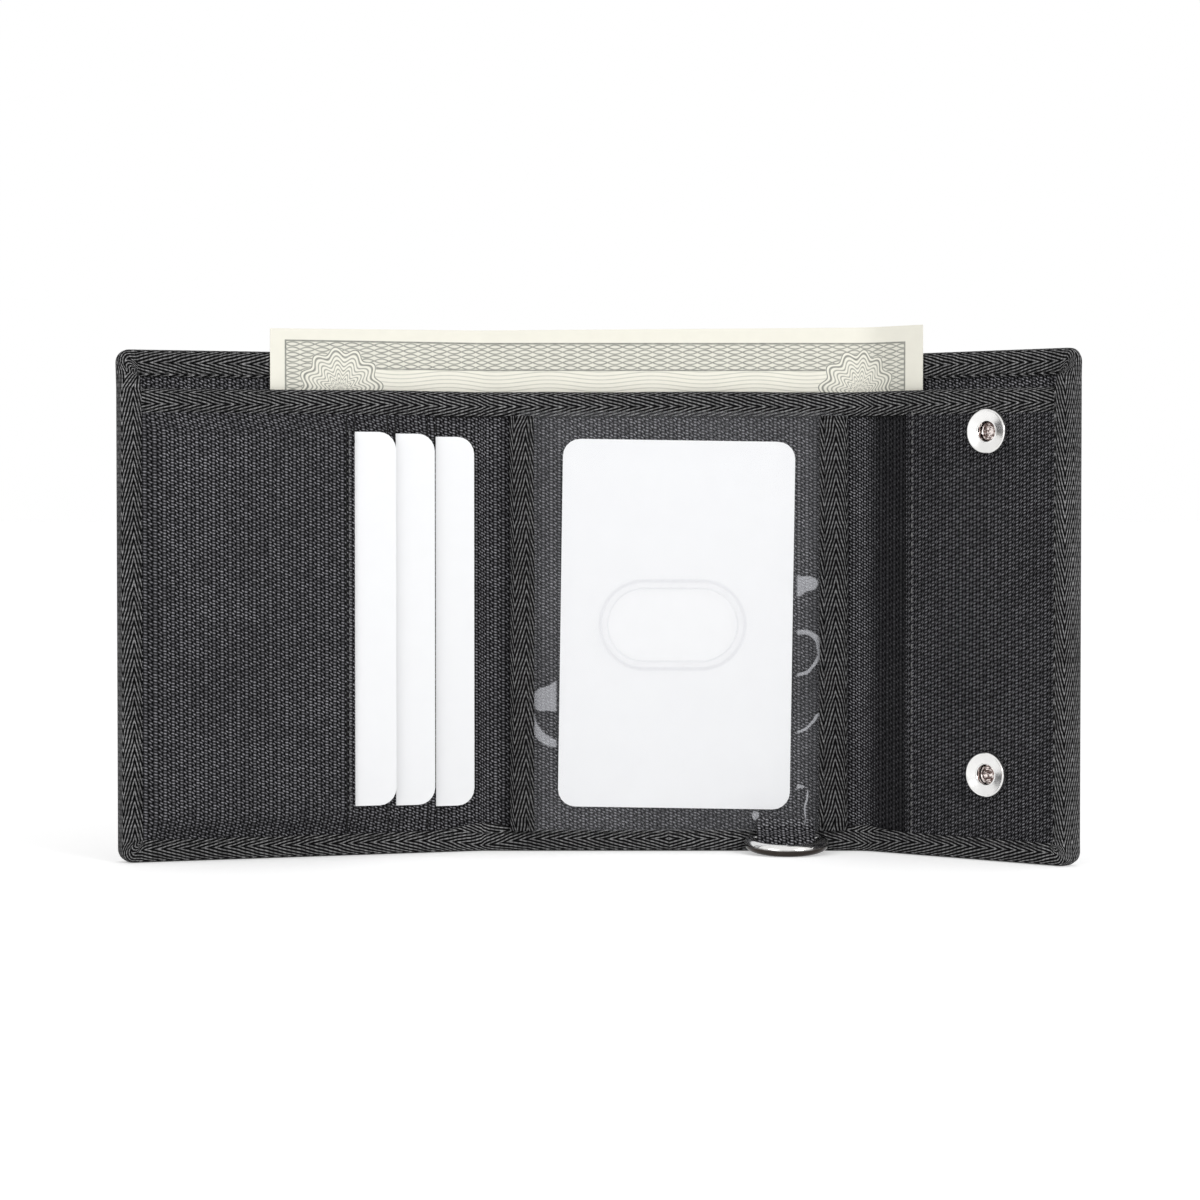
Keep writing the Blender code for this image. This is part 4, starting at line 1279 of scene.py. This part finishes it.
class WALLET_OT_stitches(bpy.types.Operator):
    """Lays the stitch rows along the tapes and the pocket edges"""

    bl_idname = "wallet.stitches"
    bl_label = "Stitches"

    def execute(self, context):
        plain = thread_material("thread")
        pale = thread_material("pale_thread", lift=3.6)
        black = thread_material("black_thread", lift=0.2)

        def upright(s, n, low, high):
            return [(s, n, z) for z in steps(low, high, 2.0)]

        # Black rows along each pocket's hem are its stitches with the shade in their groove painted in; short
        # black rows at the top of each free edge are painted shadow of that edge
        hems_and_edge_shadows = []
        for index, (_, edge, _, _) in enumerate(CARD_POCKETS):
            for t, low, high in ((edge + 1.95, 5.2, 101.0), (edge + 0.15, 95.2, 101.2)):
                row = [pocket_place(index, left_s(t), z) for z in steps(low, high, 1.0)]
                hems_and_edge_shadows.append([(s, n + 0.03, z) for s, n, z in row])
        window = [upright(s, 7.3, 6.0, 101.0) for s in (-32.4, 36.0)]
        for name, rows, thread, share, body in (
                ("pocket_stitches", [upright(left_s(32.4), 9.36, 11.5, 97.0)], pale, 0.6, "left_wing"),
                ("hem_stitches_and_edge_shadows", hems_and_edge_shadows, black, CLOSED_ROW_SHARE, "left_wing"),
                ("slip_pocket_stitches", [upright(right_s(10.7), 4.92, 5.4, 101.6)], pale, 0.6, "right_wing"),
                ("window_stitches", window, plain, 0.6, "centre")):
            fit(stitch_piece(name, rows, thread, share), body, "twill_tape")
        seam = LINER_TOP - LINER_TAPE
        low, high = 4.3, HEIGHT - 5.2
        for side in SIDES:
            columns = half_range(side, *STITCH_ENDS)
            rows = [[(s, n, z) for s in columns] for n, z in (
                (FRONT_STITCH, low), (4.92, seam + 0.8), (1.60, high), (BACK_STITCH, high),
                (BACK_STITCH, low))]
            rows += [upright(SIDE_STITCHES[side], FRONT_STITCH, 6.0, 105.0),
                     upright(SIDE_STITCHES[side], BACK_STITCH, 6.0, 109.0)]
            fit(stitch_piece("tape_stitches_" + side, rows, plain), side, "twill_tape")
            # A closed row of black thread just under the liner tape's lower edge, painted shadow of that edge
            row = [(s, 4.02, seam - 0.1) for s in columns]
            fit(stitch_piece("liner_seam_" + side, [row], black, CLOSED_ROW_SHARE), side, "twill_tape")
        return {"FINISHED"}


def seen_directly(tree):
    """1 for what the camera sees straight, mirrored or through the vinyl, and 0 for light on other pieces."""
    light = add_node(tree, "ShaderNodeLightPath")
    camera, glossy, through = (
        Signal(tree, light.outputs["Is " + kind + " Ray"]) for kind in ("Camera", "Glossy", "Transmission"))
    return (camera + glossy + through).clamped()


def floor_material(name):
    """A pale surface that looks white to the camera and in reflections but keeps shadows."""
    material, tree, shader = new_material(name, 0.9, specular=0.1)
    shader.inputs["Base Color"].default_value = (0.92, 0.92, 0.92, 1.0)
    shader.inputs["Emission Color"].default_value = (1.0, 1.0, 1.0, 1.0)
    (seen_directly(tree) * 0.37).into(shader, "Emission Strength")
    return material


def add_aimed(name, data, place, target):
    """Puts a lamp or a camera at a place, aimed at a point."""
    holder = bpy.data.objects.new(name, data)
    holder.location = place
    holder.rotation_euler = (Vector(target) - Vector(place)).to_track_quat("-Z", "Y").to_euler()
    bpy.context.scene.collection.objects.link(holder)
    return holder


class WALLET_OT_stage(bpy.types.Operator):
    """Sets up the floor, the soft studio light and the camera"""

    bl_idname = "wallet.stage"
    bl_label = "Stage"

    def execute(self, context):
        scene = context.scene
        scene.view_settings.view_transform = "Standard"
        shape = bmesh.new()
        bmesh.ops.create_grid(shape, x_segments=2, y_segments=2, size=40.0)
        finish_mesh("floor", shape, floor_material("pale_floor"))
        world = bpy.data.worlds.new("studio")
        scene.world = world
        world.use_nodes = True
        tree = world.node_tree
        tree.nodes.clear()
        glow = add_node(tree, "ShaderNodeBackground")
        glow.inputs["Color"].default_value = (1.0, 1.0, 1.0, 1.0)
        (0.70 + seen_directly(tree) * 0.30).into(glow, "Strength")
        leave = add_node(tree, "ShaderNodeOutputWorld")
        tree.links.new(glow.outputs[0], leave.inputs["Surface"])
        for name, place, size, power in (("key", (0.60, -0.85, 0.40), 0.4, 3.9),
                                         ("fill", (-0.7, -0.9, 0.35), 0.6, 1.6)):
            lamp = bpy.data.lights.new(name, "AREA")
            lamp.shape = "DISK"
            lamp.size = size
            lamp.energy = power
            add_aimed(name, lamp, place, (0.0, 0.0, 0.06))
        camera = bpy.data.cameras.new("camera")
        camera.sensor_width = 36.0
        camera.lens = 96.06
        camera.clip_start = 0.01
        look = Vector((-0.0161, BACK_Y * MM, 0.0585))
        distance, pitch = 0.750, math.radians(1.5)
        place = look + Vector((0.0, -distance * math.cos(pitch), distance * math.sin(pitch)))
        scene.camera = add_aimed("camera", camera, place, look)
        return {"FINISHED"}


class WALLET_PT_looks(bpy.types.Panel):
    """Lists the wallet's settings and pieces"""

    bl_label = "Wallet"
    bl_idname = "WALLET_PT_looks"
    bl_space_type = "VIEW_3D"
    bl_region_type = "UI"
    bl_category = "Wallet"

    def draw(self, context):
        for settings in (context.scene.wallet_sizes, context.scene.wallet_colours):
            for key in settings.__annotations__:
                self.layout.prop(settings, key)
        for operator in OPERATORS:
            self.layout.operator(operator.bl_idname)


OPERATORS = (WALLET_OT_stage, WALLET_OT_panels, WALLET_OT_bindings, WALLET_OT_card_pockets, WALLET_OT_window,
             WALLET_OT_slip_pocket, WALLET_OT_cards, WALLET_OT_snaps, WALLET_OT_ring, WALLET_OT_note,
             WALLET_OT_stitches)
CLASSES = (WalletSizes, WalletColours, *OPERATORS, WALLET_PT_looks)


def register():
    """Registers the classes and the scene's settings."""
    for item in CLASSES:
        bpy.utils.register_class(item)
    bpy.types.Scene.wallet_sizes = PointerProperty(type=WalletSizes)
    bpy.types.Scene.wallet_colours = PointerProperty(type=WalletColours)


def unregister():
    """Removes the settings and the classes."""
    del bpy.types.Scene.wallet_colours
    del bpy.types.Scene.wallet_sizes
    for item in reversed(CLASSES):
        bpy.utils.unregister_class(item)


def main():
    """Builds every piece and writes the two boxes."""
    register()
    bpy.ops.wallet.stage()
    bpy.ops.wallet.panels()
    bpy.ops.wallet.bindings()
    bpy.ops.wallet.card_pockets()
    bpy.ops.wallet.window()
    bpy.ops.wallet.slip_pocket()
    bpy.ops.wallet.cards()
    bpy.ops.wallet.snaps()
    bpy.ops.wallet.ring()
    bpy.ops.wallet.note()
    bpy.ops.wallet.stitches()


if __name__ == "__main__":
    main()
